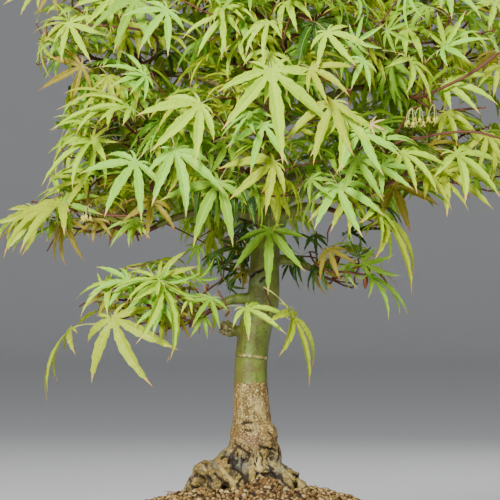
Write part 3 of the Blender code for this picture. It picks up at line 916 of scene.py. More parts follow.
@dataclass(frozen=True)
class Mass:
    """One mass of foliage: an oval space, and where the limb that bears it leaves the trunk.

    azimuth and reach place the middle of the space round the trunk's foot, height is the
    middle's level above the ground, and along, across and up are half its sizes. fork is the
    height where its limb leaves the trunk, sprays says how leafy the mass is, and limb says
    whether there is a bough of its own.
    """

    name: str
    azimuth: float
    reach: float
    height: float
    along: float
    across: float
    up: float
    fork: float
    sprays: int
    limb: bool = True

    @property
    def outward(self) -> Vector:
        """The level direction from the trunk to the mass."""
        return compass(math.radians(self.azimuth))

    @property
    def middle(self) -> Vector:
        """The middle of the space."""
        return self.outward * self.reach + UP * (GROUND + self.height)

    def place(self, radial: float, sideways: float, upward: float) -> Vector:
        """A point of the space, by its shares of the half sizes."""
        side = Vector((-self.outward.y, self.outward.x, 0))
        radial, sideways = radial * self.along, sideways * self.across
        return self.middle + self.outward * radial + side * sideways + UP * (upward * self.up)


MASSES = (
    Mass("low_left", 191, 0.070, 0.100, 0.062, 0.048, 0.044, 0.112, 8),
    Mass("low_front", 293, 0.046, 0.086, 0.032, 0.040, 0.042, 0.104, 1, False),
    Mass("left_long", 184, 0.103, 0.155, 0.060, 0.050, 0.034, 0.160, 8),
    Mass("left_middle", 200, 0.082, 0.203, 0.060, 0.054, 0.044, 0.194, 9),
    Mass("left_upper", 182, 0.094, 0.266, 0.066, 0.058, 0.050, 0.222, 10),
    Mass("front_middle", 263, 0.080, 0.198, 0.048, 0.062, 0.060, 0.170, 11),
    Mass("front_upper", 284, 0.078, 0.272, 0.052, 0.066, 0.052, 0.230, 11),
    Mass("front_right", 321, 0.088, 0.174, 0.048, 0.052, 0.054, 0.157, 9),
    Mass("right_low", 14, 0.070, 0.126, 0.046, 0.044, 0.034, 0.134, 6),
    Mass("right_long", 3, 0.118, 0.192, 0.056, 0.056, 0.044, 0.169, 9),
    Mass("right_upper", 356, 0.106, 0.260, 0.064, 0.060, 0.052, 0.213, 10),
    Mass("back_left", 136, 0.096, 0.192, 0.052, 0.064, 0.054, 0.178, 10),
    Mass("back_middle", 92, 0.092, 0.168, 0.050, 0.058, 0.052, 0.153, 9),
    Mass("back_right", 42, 0.098, 0.194, 0.052, 0.062, 0.054, 0.181, 10),
    Mass("back_upper", 88, 0.076, 0.264, 0.056, 0.072, 0.054, 0.238, 11),
    Mass("shoulder_left", 180, 0.064, 0.324, 0.060, 0.064, 0.044, 0.256, 8),
    Mass("shoulder_right", 0, 0.066, 0.322, 0.060, 0.064, 0.044, 0.264, 8),
    Mass("shoulder_front", 270, 0.062, 0.326, 0.052, 0.060, 0.044, 0.272, 8),
    Mass("shoulder_back", 90, 0.062, 0.322, 0.052, 0.060, 0.044, 0.280, 8),
    Mass("apex", 0, 0.0, 0.350, 0.056, 0.056, 0.040, 0.328, 8, False),
)


class Spaces:
    """The masses' spaces, for testing many points at once."""

    def __init__(self, masses: Sequence[Mass]) -> None:
        """Gathers the spaces' middles and axes.

        Args:
            masses: The masses, whose order numbers them.
        """
        self.middles = np.array([mass.middle for mass in masses])
        axes = []
        for mass in masses:
            out = mass.outward
            rows = (out / mass.along, Vector((-out.y, out.x, 0)) / mass.across, UP / mass.up)
            axes.append(rows)
        self.axes = np.array(axes)

    def shares(self, points: Sequence[Vector]) -> np.ndarray:
        """How far out each point lies, a row each, in each space: 1 is on its outline."""
        offsets = np.array(points)[:, None, :] - self.middles[None]
        return np.linalg.norm(np.einsum("mij,pmj->pmi", self.axes, offsets), axis=2)


@dataclass(frozen=True)
class Root:
    """A surface root: its way out, the height of its shoulder, its reach and its radii."""

    azimuth: float
    shoulder: float
    reach: float
    thick: float
    thin: float


@dataclass(frozen=True)
class Knuckle:
    """A lump of wood on the foot: its place over the ground and its half sizes."""

    x: float
    y: float
    height: float
    radii: Triple


@dataclass
class Trunk:
    """The trunk, its roots and its boughs, as one skin of wood with the bark's relief."""

    stations: tuple[tuple[float, float, float, float], ...] = (
        (0.000, -0.0020, 0.0000, 0.0165),
        (0.021, -0.0022, 0.0000, 0.0138),
        (0.041, -0.0020, 0.0005, 0.0117),
        (0.071, -0.0025, 0.0010, 0.0098),
        (0.095, 0.0002, 0.0010, 0.0099),
        (0.113, 0.0048, 0.0000, 0.0096),
        (0.143, 0.0064, 0.0020, 0.0084),
        (0.176, 0.0130, 0.0040, 0.0066),
        (0.225, 0.0100, 0.0010, 0.0048),
        (0.275, 0.0030, -0.0030, 0.0034),
        (0.328, 0.0000, 0.0000, 0.0018),
    )
    roots: tuple[Root, ...] = (
        Root(184, 0.0185, 0.0345, 0.0105, 0.0078),
        Root(218, 0.014, 0.0330, 0.0080, 0.0055),
        Root(262, 0.010, 0.0270, 0.0070, 0.0045),
        Root(318, 0.016, 0.0330, 0.0060, 0.0040),
        Root(352, 0.0165, 0.0355, 0.0050, 0.0032),
        Root(52, 0.015, 0.0310, 0.0065, 0.0040),
        Root(112, 0.017, 0.0330, 0.0075, 0.0045),
    )
    knuckles: tuple[Knuckle, ...] = (
        Knuckle(0.0074, -0.006, 0.031, (0.0060, 0.006, 0.0095)),
        Knuckle(-0.029, -0.007, 0.0105, (0.0085, 0.008, 0.0070)),
        Knuckle(-0.036, -0.008, 0.003, (0.0050, 0.006, 0.0060)),
        Knuckle(0.0118, -0.004, 0.0195, (0.0045, 0.005, 0.0085)),
        Knuckle(0.0235, -0.006, 0.0085, (0.0034, 0.003, 0.0018)),
        Knuckle(-0.024, -0.016, 0.006, (0.0070, 0.007, 0.0062)),
        Knuckle(-0.019, -0.006, 0.015, (0.0070, 0.007, 0.0050)),
        Knuckle(-0.012, -0.018, 0.004, (0.0065, 0.006, 0.0050)),
        Knuckle(0.018, -0.011, 0.006, (0.0055, 0.005, 0.0050)),
        Knuckle(0.006, -0.019, 0.003, (0.0060, 0.005, 0.0042)),
        Knuckle(-0.010, 0.018, 0.006, (0.0075, 0.006, 0.0060)),
        Knuckle(0.014, 0.014, 0.008, (0.0065, 0.006, 0.0065)),
    )
    root_knee: Pair = (0.62, 0.78)
    root_dive: float = 0.006
    sunk: float = 0.003
    knob_height: float = 0.0925
    knob_reach: Triple = (-0.0205, -0.0040, 0.0045)
    knob_radius: float = 0.0040
    knob_swell: tuple[float, ...] = (1.2, 1.05, 0.85, 0.72, 0.80, 1.12, 1.2, 0.6)
    knob_middle: Triple = (-0.0195, -0.003, 0.0950)
    bough_share: float = 0.46
    bough_tip: float = 0.0019
    bough_rise: float = 0.22
    bough_into_mass: float = 0.72
    collar: float = 1.35
    voxel: float = 0.00073
    relief: float = 0.0009
    line_fade: float = 0.004
    foot_fade: float = 0.014
    burr_height: float = 0.042
    burr_fade: float = 0.010
    ring_stands: float = 0.00045
    ring_half_width: float = 0.0009
    knob_relief: float = 0.0013
    knob_rough_reach: float = 0.0095
    knob_scale: float = 300
    wave_scale: float = 60
    lump_scale: float = 130
    grain_scale: float = 420
    ridge_scale: float = 140
    knot_scale: float = 80
    crevice_from: float = 1.12
    crevice_depth: float = 0.0034
    grain_radius: float = 0.026
    creased_below: float = 0.14
    crease_wander: float = 0.0009
    crease_scale: float = 500
    creases: tuple[tuple[float, ...], ...] = (
        (-0.0072, 0.0392, -0.0020, 0.0396, 0.0007, 0.0015),
        (-0.0062, 0.0352, -0.0024, 0.0348, 0.0007, 0.0013),
        (0.0082, 0.0340, 0.0104, 0.0318, 0.0006, 0.0007),
        (0.0080, 0.0376, 0.0104, 0.0352, 0.0008, -0.0006),
        (-0.0126, 0.0270, -0.0030, 0.0210, 0.0007, 0.0015),
        (-0.0120, 0.0300, -0.0040, 0.0262, 0.0007, -0.0006),
        (0.0036, 0.0250, 0.0130, 0.0228, 0.0008, 0.0015),
        (-0.0030, 0.0210, -0.0048, 0.0168, 0.0008, 0.0015),
        (-0.0148, 0.0170, -0.0040, 0.0060, 0.0011, 0.0016),
        (-0.0206, 0.0134, -0.0084, -0.0020, 0.0016, -0.0013),
        (-0.0240, 0.0106, -0.0160, 0.0020, 0.0009, 0.0014),
        (-0.0290, 0.0082, -0.0274, 0.0056, 0.0019, 0.0026),
        (-0.0180, 0.0008, -0.0150, -0.0020, 0.0017, 0.0022),
        (-0.0052, 0.0060, -0.0060, 0.0010, 0.0012, 0.0018),
        (0.0066, 0.0120, 0.0126, 0.0040, 0.0009, 0.0015),
        (0.0110, 0.0160, 0.0280, 0.0010, 0.0017, -0.0012),
        (0.0150, 0.0072, 0.0250, -0.0010, 0.0009, 0.0015),
        (-0.0042, 0.1268, 0.0050, 0.1318, 0.0007, 0.0015),
        (0.0030, 0.1240, 0.0062, 0.1268, 0.0007, 0.0015),
    )
    calm_middle: Pair = (-0.0240, 0.0105)
    calm_radii: Pair = (0.0135, 0.0100)
    finish: BarkFinish = field(default_factory=BarkFinish)

    @property
    def tip(self) -> float:
        """The height of the trunk's tip."""
        return self.stations[-1][0]

    def at(self, height: float) -> tuple[Vector, float]:
        """The trunk's middle and radius at a height above the ground, along a smooth curve.

        Args:
            height: Metres above the ground.

        Returns:
            The middle and the radius.
        """
        rows = self.stations
        last = len(rows) - 1
        i = 0
        while i < last - 1 and rows[i + 1][0] <= height:
            i += 1
        low, high = rows[i], rows[i + 1]
        before, after = rows[max(i - 1, 0)], rows[min(i + 2, last)]
        span = high[0] - low[0]
        t = (height - low[0]) / span
        values = []
        for k in (1, 2, 3):
            leaving = (high[k] - before[k]) / (high[0] - before[0]) * span
            arriving = (after[k] - low[k]) / (after[0] - low[0]) * span
            values.append(curved(low[k], high[k], leaving, arriving, t))
        x, y, radius = values
        return Vector((x, y, GROUND + height)), radius

    def bough(self, mass: Mass, count: int) -> tuple[list[Vector], float]:
        """The middle line of a mass's bough, from inside the trunk to where the foliage begins.

        Args:
            mass: The mass that it bears.
            count: Points along it.

        Returns:
            The points, and the bough's radius where it starts.
        """
        start, thickness = self.at(mass.fork)
        spaces = Spaces([mass])
        reach = mass.middle - start
        while spaces.shares([start + reach])[0, 0] < self.bough_into_mass:
            reach = reach * 0.99
        level = Vector((reach.x, reach.y, 0))
        corner = start + level * 0.5 + UP * (reach.z * 0.5 + level.length * self.bough_rise)
        return bent(start, corner, start + reach, count), thickness * self.bough_share

    def stem(self, mass: Mass) -> tuple[Vector, Vector]:
        """Where a mass's twigs begin and their direction: at its bough's tip, or at the trunk.

        Args:
            mass: The mass.

        Returns:
            The place and the direction.
        """
        if mass.limb:
            path, _ = self.bough(mass, 6)
            return path[-1], (path[-1] - path[-2]).normalized()
        start, radius = self.at(mass.fork)
        if mass.reach == 0:
            return start, UP.copy()
        heading = (mass.outward + UP * 0.35).normalized()
        return start + mass.outward * (radius * 0.7), heading

    def build(self) -> bpy.types.Object:
        """Makes the wood and gives it its relief.

        Returns:
            The finished piece.
        """
        shell = Shell()
        self._add_column(shell)
        self._add_roots(shell)
        for mass in MASSES:
            if mass.limb:
                self._add_bough(shell, mass)
        rough = shell.object("rough_wood", self.finish)
        remesh = rough.modifiers.new("skin", "REMESH")
        remesh.mode = "VOXEL"
        remesh.voxel_size = self.voxel
        wood = applied(rough, "wood")
        self._carve(wood.data)
        wood.data.shade_smooth()
        nodes = ["trunk"] + [f"bough_{mass.name}" for mass in MASSES if mass.limb]
        keep(wood, Slot.BARK, *nodes)
        return wood

    def _add_column(self, shell: Shell) -> None:
        """Adds the trunk's own column and its pruned knob.

        Args:
            shell: The shell to add to.
        """
        count = 90
        path, radii = [], []
        for i in range(count):
            height = self.tip * (i / (count - 1)) ** 1.2
            centre, radius = self.at(height)
            path.append(centre)
            radii.append(radius)
        path.insert(0, path[0] - UP * self.sunk)
        radii.insert(0, radii[0] * 1.05)
        shell.tube(path, radii, 48)
        start, _ = self.at(self.knob_height)
        end = start + Vector(self.knob_reach)
        path = bent(start, (start + end) / 2 - UP * 0.0015, end, len(self.knob_swell))
        shell.tube(path, [self.knob_radius * swell for swell in self.knob_swell], 20)

    def _add_roots(self, shell: Shell) -> None:
        """Adds the surface roots, each with a side root, and the knuckles between them.

        Args:
            shell: The shell to add to.
        """
        foot, _ = self.at(0)
        for number, root in enumerate(self.roots):
            for branch, turned in enumerate((0, 26 if number % 2 else -24)):
                outward = compass(math.radians(root.azimuth + turned))
                start, _ = self.at(root.shoulder * (1 - 0.3 * branch))
                reach = root.reach * (1 - 0.18 * branch)
                thick, thin = root.thick * (1 - 0.3 * branch), root.thin * (1 - 0.35 * branch)
                knee = UP * (root.shoulder * self.root_knee[1])
                corner = foot + outward * (reach * self.root_knee[0]) + knee
                end = foot + outward * reach - UP * self.root_dive
                path = bent(start, corner, end, 14)
                radii = []
                for i in range(len(path)):
                    t = i / (len(path) - 1)
                    lump = 1 + 0.13 * math.sin(9 * t + number * 2.4 + branch)
                    radii.append((thick + (thin - thick) * t) * lump)
                shell.tube(path, radii, 20)
        for knuckle in self.knuckles:
            centre = Vector((knuckle.x, knuckle.y, GROUND + knuckle.height))
            shell.ball(centre, knuckle.radii, rings=12, sides=16)

    def _add_bough(self, shell: Shell, mass: Mass) -> None:
        """Adds a bough that tapers and wanders a little, with a collar where it forks.

        Args:
            shell: The shell to add to.
            mass: The mass that it bears.
        """
        path, thick = self.bough(mass, 22)
        radii = []
        for i, point in enumerate(path):
            t = i / (len(path) - 1)
            sway = noise.noise_vector(point * 45) * (0.0022 * math.sin(math.pi * t))
            path[i] = point + sway
            collar = 1 + (self.collar - 1) * max(0, 1 - t * 5)
            radii.append((thick + (min(self.bough_tip, thick * 0.85) - thick) * t) * collar)
        shell.tube(path, radii, 14)

    def _carve(self, mesh: bpy.types.Mesh) -> None:
        """Smooths the skin and moves each point out or in by the bark's relief.

        Args:
            mesh: The wood's mesh.
        """
        skin = bmesh.new()
        skin.from_mesh(mesh)
        every_way = {"use_axis_x": True, "use_axis_y": True, "use_axis_z": True}
        for _ in range(3):
            bmesh.ops.smooth_vert(skin, verts=skin.verts[:], factor=0.5, **every_way)
        skin.normal_update()
        # Each point keeps how deep it lies in a crevice, which the bark paints as shade.
        hollow = skin.verts.layers.float.new("hollow")
        moves = []
        for vert in skin.verts:
            move, depth = self._relief_at(vert.co, vert.normal)
            vert[hollow] = depth
            moves.append(vert.normal * move)
        for vert, move in zip(skin.verts, moves):
            vert.co += move
        skin.to_mesh(mesh)
        skin.free()

    def _relief_at(self, point: Vector, normal: Vector) -> Pair:
        """How the bark stands out at a point of the smooth skin.

        Args:
            point: The point.
            normal: The way out of the skin there.

        Returns:
            How far it stands out in metres, and how deep in a crevice it is, or below 0 on a welt, which
            the bark turns into painted shade and painted highlight.
        """
        height = point.z - GROUND
        centre, radius = self.at(min(max(height, 0), self.tip))
        aside = (point - centre).to_2d()
        wild = self._wildness(point.x, height)
        old = clamped((self.finish.green_from - height) / self.line_fade)
        foot = clamped((self.finish.foot_height - height) / self.foot_fade)
        burred = clamped((self.burr_height - height) / self.burr_fade) * wild
        grain = noise.fractal(Vector((point.x, point.y, point.z * 0.3)) * self.grain_scale, 0.6, 2.0, 3)
        waves = noise.noise(point * self.wave_scale)
        lumps = noise.fractal(point * self.lump_scale, 0.6, 2.0, 3)
        moved = grain * self.relief * (0.10 + 0.2 * old) + waves * self.relief * 0.35
        moved += lumps * self.relief * 0.75 * burred
        hollow = 0.0
        if foot > 0:
            way = aside.normalized() * self.grain_radius
            along = Vector((way.x + point.x * 0.3, way.y + point.y * 0.3, point.z * 0.7))
            ridged = noise.ridged_multi_fractal(along * self.ridge_scale, 0.9, 2.1, 3, 1.0, 2.0)
            knotty = noise.ridged_multi_fractal(point * self.knot_scale, 0.9, 2.1, 3, 1.0, 2.0)
            depth = max(max(ridged, knotty - 0.32) - self.crevice_from, 0) * foot * wild
            # The foot's crevice depth, which the bark paints as shade.
            hollow = depth * 2.6
            moved -= depth * self.crevice_depth
        if aside.length < radius * 1.5 + 0.002:
            ring = height - self.finish.ring_height - point.x * self.finish.ring_slope
            moved += self.ring_stands * math.exp(-((ring / self.ring_half_width) ** 2))
        knob = Vector((*self.knob_middle[:2], GROUND + self.knob_middle[2]))
        near_knob = max(1 - (point - knob).length / self.knob_rough_reach, 0)
        if near_knob > 0:
            lump = noise.fractal(point * self.knob_scale, 0.9, 2.0, 3)
            moved += lump * self.knob_relief * min(near_knob * 2, 1)
            # The knob's pits take painted shade.
            hollow = max(hollow, -lump * 0.9 * min(near_knob * 2, 1))
        if normal.y < 0.2 and height < self.creased_below:
            cut, crease, welt = self._crease_at(point.x, height)
            moved -= cut
            # Creases take painted shade, and welts a painted highlight.
            hollow = max(hollow, crease) - welt
        return moved, min(hollow, 1.0)

    def _wildness(self, across: float, height: float) -> float:
        """How knotty the foot is at a place of its front: less on the smooth left root."""
        aside = (across - self.calm_middle[0]) / self.calm_radii[0]
        above = (height - self.calm_middle[1]) / self.calm_radii[1]
        return 1 - 0.7 * max(0.0, 1 - aside * aside - above * above)

    def _crease_at(self, across: float, height: float) -> Triple:
        """The front's creases and welts at a place: the cut in metres, and how near each kind is.

        Args:
            across: The place's X.
            height: Metres above the ground.

        Returns:
            The cut, and from 0 to 1 how near a crease and a welt are.
        """
        place = Vector((across, height))
        drift = [noise.noise(Vector((*place, seed)) * self.crease_scale) for seed in (0.3, 7)]
        place += Vector(drift) * self.crease_wander
        cut = crease = welt = 0.0
        for start_x, start_height, end_x, end_height, width, deep in self.creases:
            start, end = Vector((start_x, start_height)), Vector((end_x, end_height))
            way = end - start
            share = min(max((place - start).dot(way) / way.length_squared, 0), 1)
            gap = (place - start - way * share).length / width
            near = math.exp(-gap * gap)
            cut += deep * near
            if deep > 0:
                crease = max(crease, near)
            else:
                welt = max(welt, near)
        return cut, crease, welt


# The photo's view


@dataclass(frozen=True)
class View:
    """The camera, which looks along +Y as the photo does, and turns photo pixels into places."""

    distance: float = 2.4
    elevation: float = -0.3
    width: float = 0.300
    pixels: int = 500
    target: Triple = (-0.003, 0.0, 0.2048)

    @property
    def axes(self) -> tuple[Vector, Vector]:
        """The ways straight ahead of the camera and straight up in its picture."""
        turn = math.radians(self.elevation)
        return Vector((0, math.cos(turn), -math.sin(turn))), Vector((0, math.sin(turn), math.cos(turn)))

    @property
    def eye(self) -> Vector:
        """Where the camera stands."""
        return Vector(self.target) - self.axes[0] * self.distance

    def at(self, pixel: Sequence[float], depth: float) -> Vector:
        """The place behind a pixel of the photo.

        Args:
            pixel: The pixel's column and row.
            depth: The place's Y, in metres behind the trunk.

        Returns:
            The place.
        """
        ahead, above = self.axes
        size = self.width / self.distance / self.pixels
        right, down = (value - self.pixels / 2 for value in pixel)
        ray = ahead + Vector((1, 0, 0)) * (right * size) - above * (down * size)
        return self.eye + ray * ((depth - self.eye.y) / ray.y)

    def pixel(self, point: Vector) -> Pair:
        """The photo's column and row where a place would show.

        Args:
            point: The place.

        Returns:
            The column and the row.
        """
        ahead, above = self.axes
        offset = point - self.eye
        size = self.width / self.distance / self.pixels * offset.dot(ahead)
        return self.pixels / 2 + offset.x / size, self.pixels / 2 - offset.dot(above) / size


VIEW = View()

Outline = tuple[Pair, ...]

SKY_LEFT: Outline = (
    (0, 6), (34, 2), (35, 60), (41, 90), (64, 80), (66, 98), (45, 130), (45, 160), (42, 184),
    (16, 211), (0, 228),
)
SKY_LOW_LEFT: Outline = (
    (0, 268), (29, 246), (53, 254), (66, 268), (76, 240), (101, 248), (149, 248), (161, 234),
    (178, 240), (172, 252), (137, 262), (112, 268), (88, 292), (70, 318), (52, 354), (64, 346),
    (92, 328), (120, 342), (180, 334), (221, 338), (230, 420), (0, 420),
)
SKY_LOW_RIGHT: Outline = (
    (281, 282), (305, 284), (317, 296), (341, 284), (365, 292), (401, 292), (400, 262), (402, 232),
    (410, 200), (437, 211), (461, 210), (500, 200), (500, 420), (271, 420), (270, 350), (281, 330),
)
SKY_WINDOWS: tuple[Outline, ...] = (
    ((371, 230), (386, 232), (382, 259), (373, 262)),
    ((310, 208), (322, 206), (345, 215), (344, 232), (330, 226), (312, 228)),
    ((478, 103), (500, 108), (500, 120), (484, 122)),
    ((442, 92), (456, 92), (456, 108), (446, 108)),
)
BARE_TRUNK: Outline = (
    (252, 264), (281, 264), (281, 300), (275, 322), (272, 450), (232, 450), (232, 334), (244, 334),
    (248, 300),
)


class Sky:
    """The places of the photo where its background or the bare trunk shows."""

    def __init__(self, outlines: Sequence[Outline], size: int) -> None:
        """Marks the photo's pixels that lie inside any of the outlines.

        Args:
            outlines: The outlines of the open places.
            size: The photo's width and height in pixels.
        """
        columns, rows = np.meshgrid(np.arange(size) + 0.5, np.arange(size) + 0.5)
        self.size = size
        self.open = np.zeros((size, size), bool)
        for outline in outlines:
            inside = np.zeros((size, size), bool)
            for (left, top), (right, low) in zip(outline, (*outline[1:], outline[0])):
                if top == low:
                    continue
                crossing = left + (rows - top) * ((right - left) / (low - top))
                inside ^= ((rows > top) != (rows > low)) & (columns < crossing)
            self.open |= inside

    def shows(self, point: Vector) -> bool:
        """Whether a place lies before an open part of the photo."""
        column, row = (int(value) for value in VIEW.pixel(point))
        return 0 <= column < self.size and 0 <= row < self.size and bool(self.open[row, column])


SKY = Sky((SKY_LEFT, SKY_LOW_LEFT, SKY_LOW_RIGHT, *SKY_WINDOWS, BARE_TRUNK), VIEW.pixels)


# Leaves


class Zone(Enum):
    """The parts of a leaf that take a finish of their own."""

    BLADE = 0
    TIP = 1
    STALK = 2
    VEIN = 3


@dataclass(frozen=True)
class Lobe:
    """One lobe of a leaf: its angle from the middle one and its share of the length.

    stations holds the shares of its length where the margin has a notch, and the half width
    there as a share of the leaf's length.
    """

    angle: float
    length: float
    stations: tuple[Pair, ...] = (
        (0.15, 0.044),
        (0.30, 0.071),
        (0.47, 0.077),
        (0.67, 0.050),
        (0.85, 0.021),
    )


SMALL_LOBE = ((0.40, 0.060), (0.76, 0.036))


@dataclass
class LeafShape:
    """One pattern leaf of unit length, on its stalk, with the stalk's foot at the origin.

    The blade lies along X and hangs down as it goes out, with its upper side towards Z.
    """

    seed: int
    lobes: tuple[Lobe, ...] = (
        Lobe(-130, 0.25, SMALL_LOBE),
        Lobe(-86, 0.58),
        Lobe(-42, 0.88),
        Lobe(0, 1.0),
        Lobe(42, 0.88),
        Lobe(86, 0.58),
        Lobe(130, 0.25, SMALL_LOBE),
    )
    droops: Pair = (24, 84)
    folds: Pair = (18, 38)
    gathers: Pair = (6, 40)
    closing: Pair = (0.74, 1.04)
    stalk_rises: Pair = (24, 46)
    stalk_lengths: Pair = (0.36, 0.58)
    turns: Pair = (-6, 6)
    sways: Pair = (-18, 18)
    pitches: Pair = (-3, 8)
    droop_shares: Pair = (0.75, 1.2)
    twists: Pair = (-24, 24)
    length_shares: Pair = (0.88, 1.07)
    sinus: float = 0.128
    throat: float = 0.050
    tooth: float = 0.016
    thickness: float = 0.007
    rib: float = 0.009
    stalk_radius: float = 0.0105
    stalk_sides: int = 5
    points: list[Vector] = field(default_factory=list)
    faces: list[tuple[int, ...]] = field(default_factory=list)
    zones: list[int] = field(default_factory=list)
    sharp: set[tuple[int, int]] = field(default_factory=set)
    coarse: list[Vector] = field(default_factory=list)
    coarse_faces: list[tuple[int, int, int]] = field(default_factory=list)
    middle_tip: Vector = field(default_factory=Vector)

    def __post_init__(self) -> None:
        """Draws the leaf's own pose, and makes its stalk and lobes."""
        self.rule = random.Random(self.seed)
        hang = self.rule.random()
        self.droop = self.droops[0] + (self.droops[1] - self.droops[0]) * hang
        self.fold = math.radians(self.rule.uniform(*self.folds))
        self.gather = self.gathers[0] + (self.gathers[1] - self.gathers[0]) * hang
        self.gather += self.rule.uniform(-5, 5)
        self.closed = self.rule.uniform(*self.closing)
        rise = math.radians(self.rule.uniform(*self.stalk_rises))
        length = self.rule.uniform(*self.stalk_lengths)
        self.hub = Vector((math.cos(rise), self.rule.uniform(-0.12, 0.12), math.sin(rise))) * length
        self._add_stalk()
        self._add_lobes()

    def _add(self, corners: Sequence[int], zone: Zone) -> None:
        """Adds a face."""
        self.faces.append(tuple(corners))
        self.zones.append(zone.value)

    def _add_stalk(self) -> None:
        """Adds the stalk: a thin closed tube that arches from the twig to the hub."""
        corner = Vector((self.hub.x * 0.45, self.hub.y * 0.3, self.hub.z * 0.8))
        path = bent(Vector(), corner, self.hub, 5)
        shell = Shell()
        radii = [self.stalk_radius * swell for swell in (1.25, 0.95, 0.85, 0.85, 1.0)]
        shell.tube(path, radii, self.stalk_sides)
        self.points += shell.points
        for face in shell.faces:
            self._add(face, Zone.STALK)

    def _sinuses(self) -> list[Vector]:
        """The points where neighbouring lobes meet, from one side of the stalk to the other.

        Returns:
            One point more than there are lobes.
        """
        found = []
        angles = [lobe.angle for lobe in self.lobes]
        middles = [(low + high) / 2 for low, high in zip(angles, angles[1:])]
        for i, angle in enumerate([-168, *middles, 168]):
            depth = self.throat if i in (0, len(angles)) else self.sinus
            depth *= min(self.lobes[min(i, 6)].length, self.lobes[max(i - 1, 0)].length) ** 0.5
            turn = math.radians(angle if abs(angle) > 150 else angle * self.closed)
            sag = -0.02 if depth == self.throat else -0.012
            found.append(self.hub + compass(turn, sag) * depth)
        return found

    def _add_lobes(self) -> None:
        """Adds every lobe, between the sinus points that it shares with its neighbours."""
        half = UP * (self.thickness / 2)
        top, bottom = len(self.points), len(self.points) + 1
        self.points += [self.hub + half, self.hub - half]
        sinuses = self._sinuses()
        numbers = range(len(self.points), len(self.points) + len(sinuses))
        self.points += sinuses
        self.coarse.append(self.hub)
        for i, lobe in enumerate(self.lobes):
            self._add_lobe(lobe, numbers[i], numbers[i + 1], top, bottom)

    def _spine(self, lobe: Lobe) -> list[tuple[Vector, Vector, Vector]]:
        """Points along a lobe's midrib, with the directions across and above it at each.

        Args:
            lobe: The lobe.

        Returns:
            A point and two directions for each station.
        """
        draw = self.rule.uniform
        heading = math.radians(lobe.angle * self.closed + draw(*self.turns))
        sway = math.radians(draw(*self.sways) - lobe.angle / 90 * self.gather)
        pitch = math.radians(draw(*self.pitches))
        droop = math.radians(self.droop * draw(*self.droop_shares) + abs(lobe.angle) * 0.12)
        twist = math.radians(draw(*self.twists))
        length = lobe.length * draw(*self.length_shares)
        point = self.hub.copy()
        stations = []
        shares = [0, *(share for share, _ in lobe.stations), 1]
        for t, after in zip(shares, [*shares[1:], 1]):
            yaw = heading + sway * t
            fall = pitch - droop * t**1.25
            level = math.cos(fall)
            ahead = Vector((level * math.cos(yaw), level * math.sin(yaw), math.sin(fall)))
            across = Vector((-math.sin(yaw), math.cos(yaw), 0))
            across = Matrix.Rotation(twist * t, 3, ahead) @ across
            stations.append((point.copy(), across, ahead.cross(across)))
            point += ahead * (length * (after - t))
        return stations

    def _margin(self, station: tuple[Vector, Vector, Vector], wide: float, side: int) -> Vector:
        """A point of the margin beside a station, raised by the fold along the midrib."""
        point, across, above = station
        return point + (across * (side * math.cos(self.fold)) + above * math.sin(self.fold)) * wide

    def _add_lobe(self, lobe: Lobe, right: int, left: int, top: int, bottom: int) -> None:
        """Adds one lobe as a thin closed blade with a saw-toothed margin.

        Args:
            lobe: The lobe.
            right: The sinus point on its right.
            left: The sinus point on its left.
            top: The hub's upper point.
            bottom: The hub's lower point.
        """
        spine = self._spine(lobe)
        count = len(spine) - 1
        share = lobe.length**0.75
        widths = [wide for _, wide in lobe.stations]
        uppers: dict[int, list[int]] = {-1: [top], 1: [top]}
        lowers = [bottom]
        for k, (point, across, above) in enumerate(spine[1:count], 1):
            half = above * (self.thickness * 0.35)
            aside = across * (self.rib * share * (1 - k / count))
            self.points += [point + half - aside, point + half + aside, point - half]
            last = len(self.points) - 1
            uppers[-1].append(last - 2)
            uppers[1].append(last - 1)
            lowers.append(last)
        tip = len(self.points)
        self.points.append(spine[count][0])
        pairs = [*zip(uppers[-1], uppers[1]), (tip, tip)]
        for near, far in zip(pairs, pairs[1:]):
            corners = dict.fromkeys((near[0], far[0], far[1], near[1]))
            self._add(tuple(corners), Zone.VEIN)
        for side, sinus in ((-1, right), (1, left)):
            edge = [sinus]
            teeth = []
            for k in range(1, count):
                wide = widths[k - 1] * share
                self.points.append(self._margin(spine[k], wide, side))
                edge.append(len(self.points) - 1)
                if k < count - 1:
                    ahead = spine[k][0].lerp(spine[k + 1][0], 0.72)
                    station = (ahead, spine[k][1], spine[k][2])
                    reach = (widths[k - 1] + (widths[k] - widths[k - 1]) * 0.72) * share
                    self.points.append(self._margin(station, reach + self.tooth * share, side))
                    teeth.append(len(self.points) - 1)
            for mids, upper in ((uppers[side], True), (lowers, False)):
                facing = upper == (side == 1)
                self._add_side(mids, edge, teeth, tip, facing)
        if lobe.angle == 0:
            self.middle_tip = spine[count][0]
        widest = widths.index(max(widths)) + 1
        first = len(self.coarse)
        self.coarse += [
            self._margin(spine[widest], max(widths) * share, -1),
            spine[count][0],
            self._margin(spine[widest], max(widths) * share, 1),
            spine[widest][0],
        ]
        self.coarse_faces += [(0, first, first + 3), (0, first + 3, first + 2)]
        self.coarse_faces += [(first, first + 1, first + 3), (first + 3, first + 1, first + 2)]

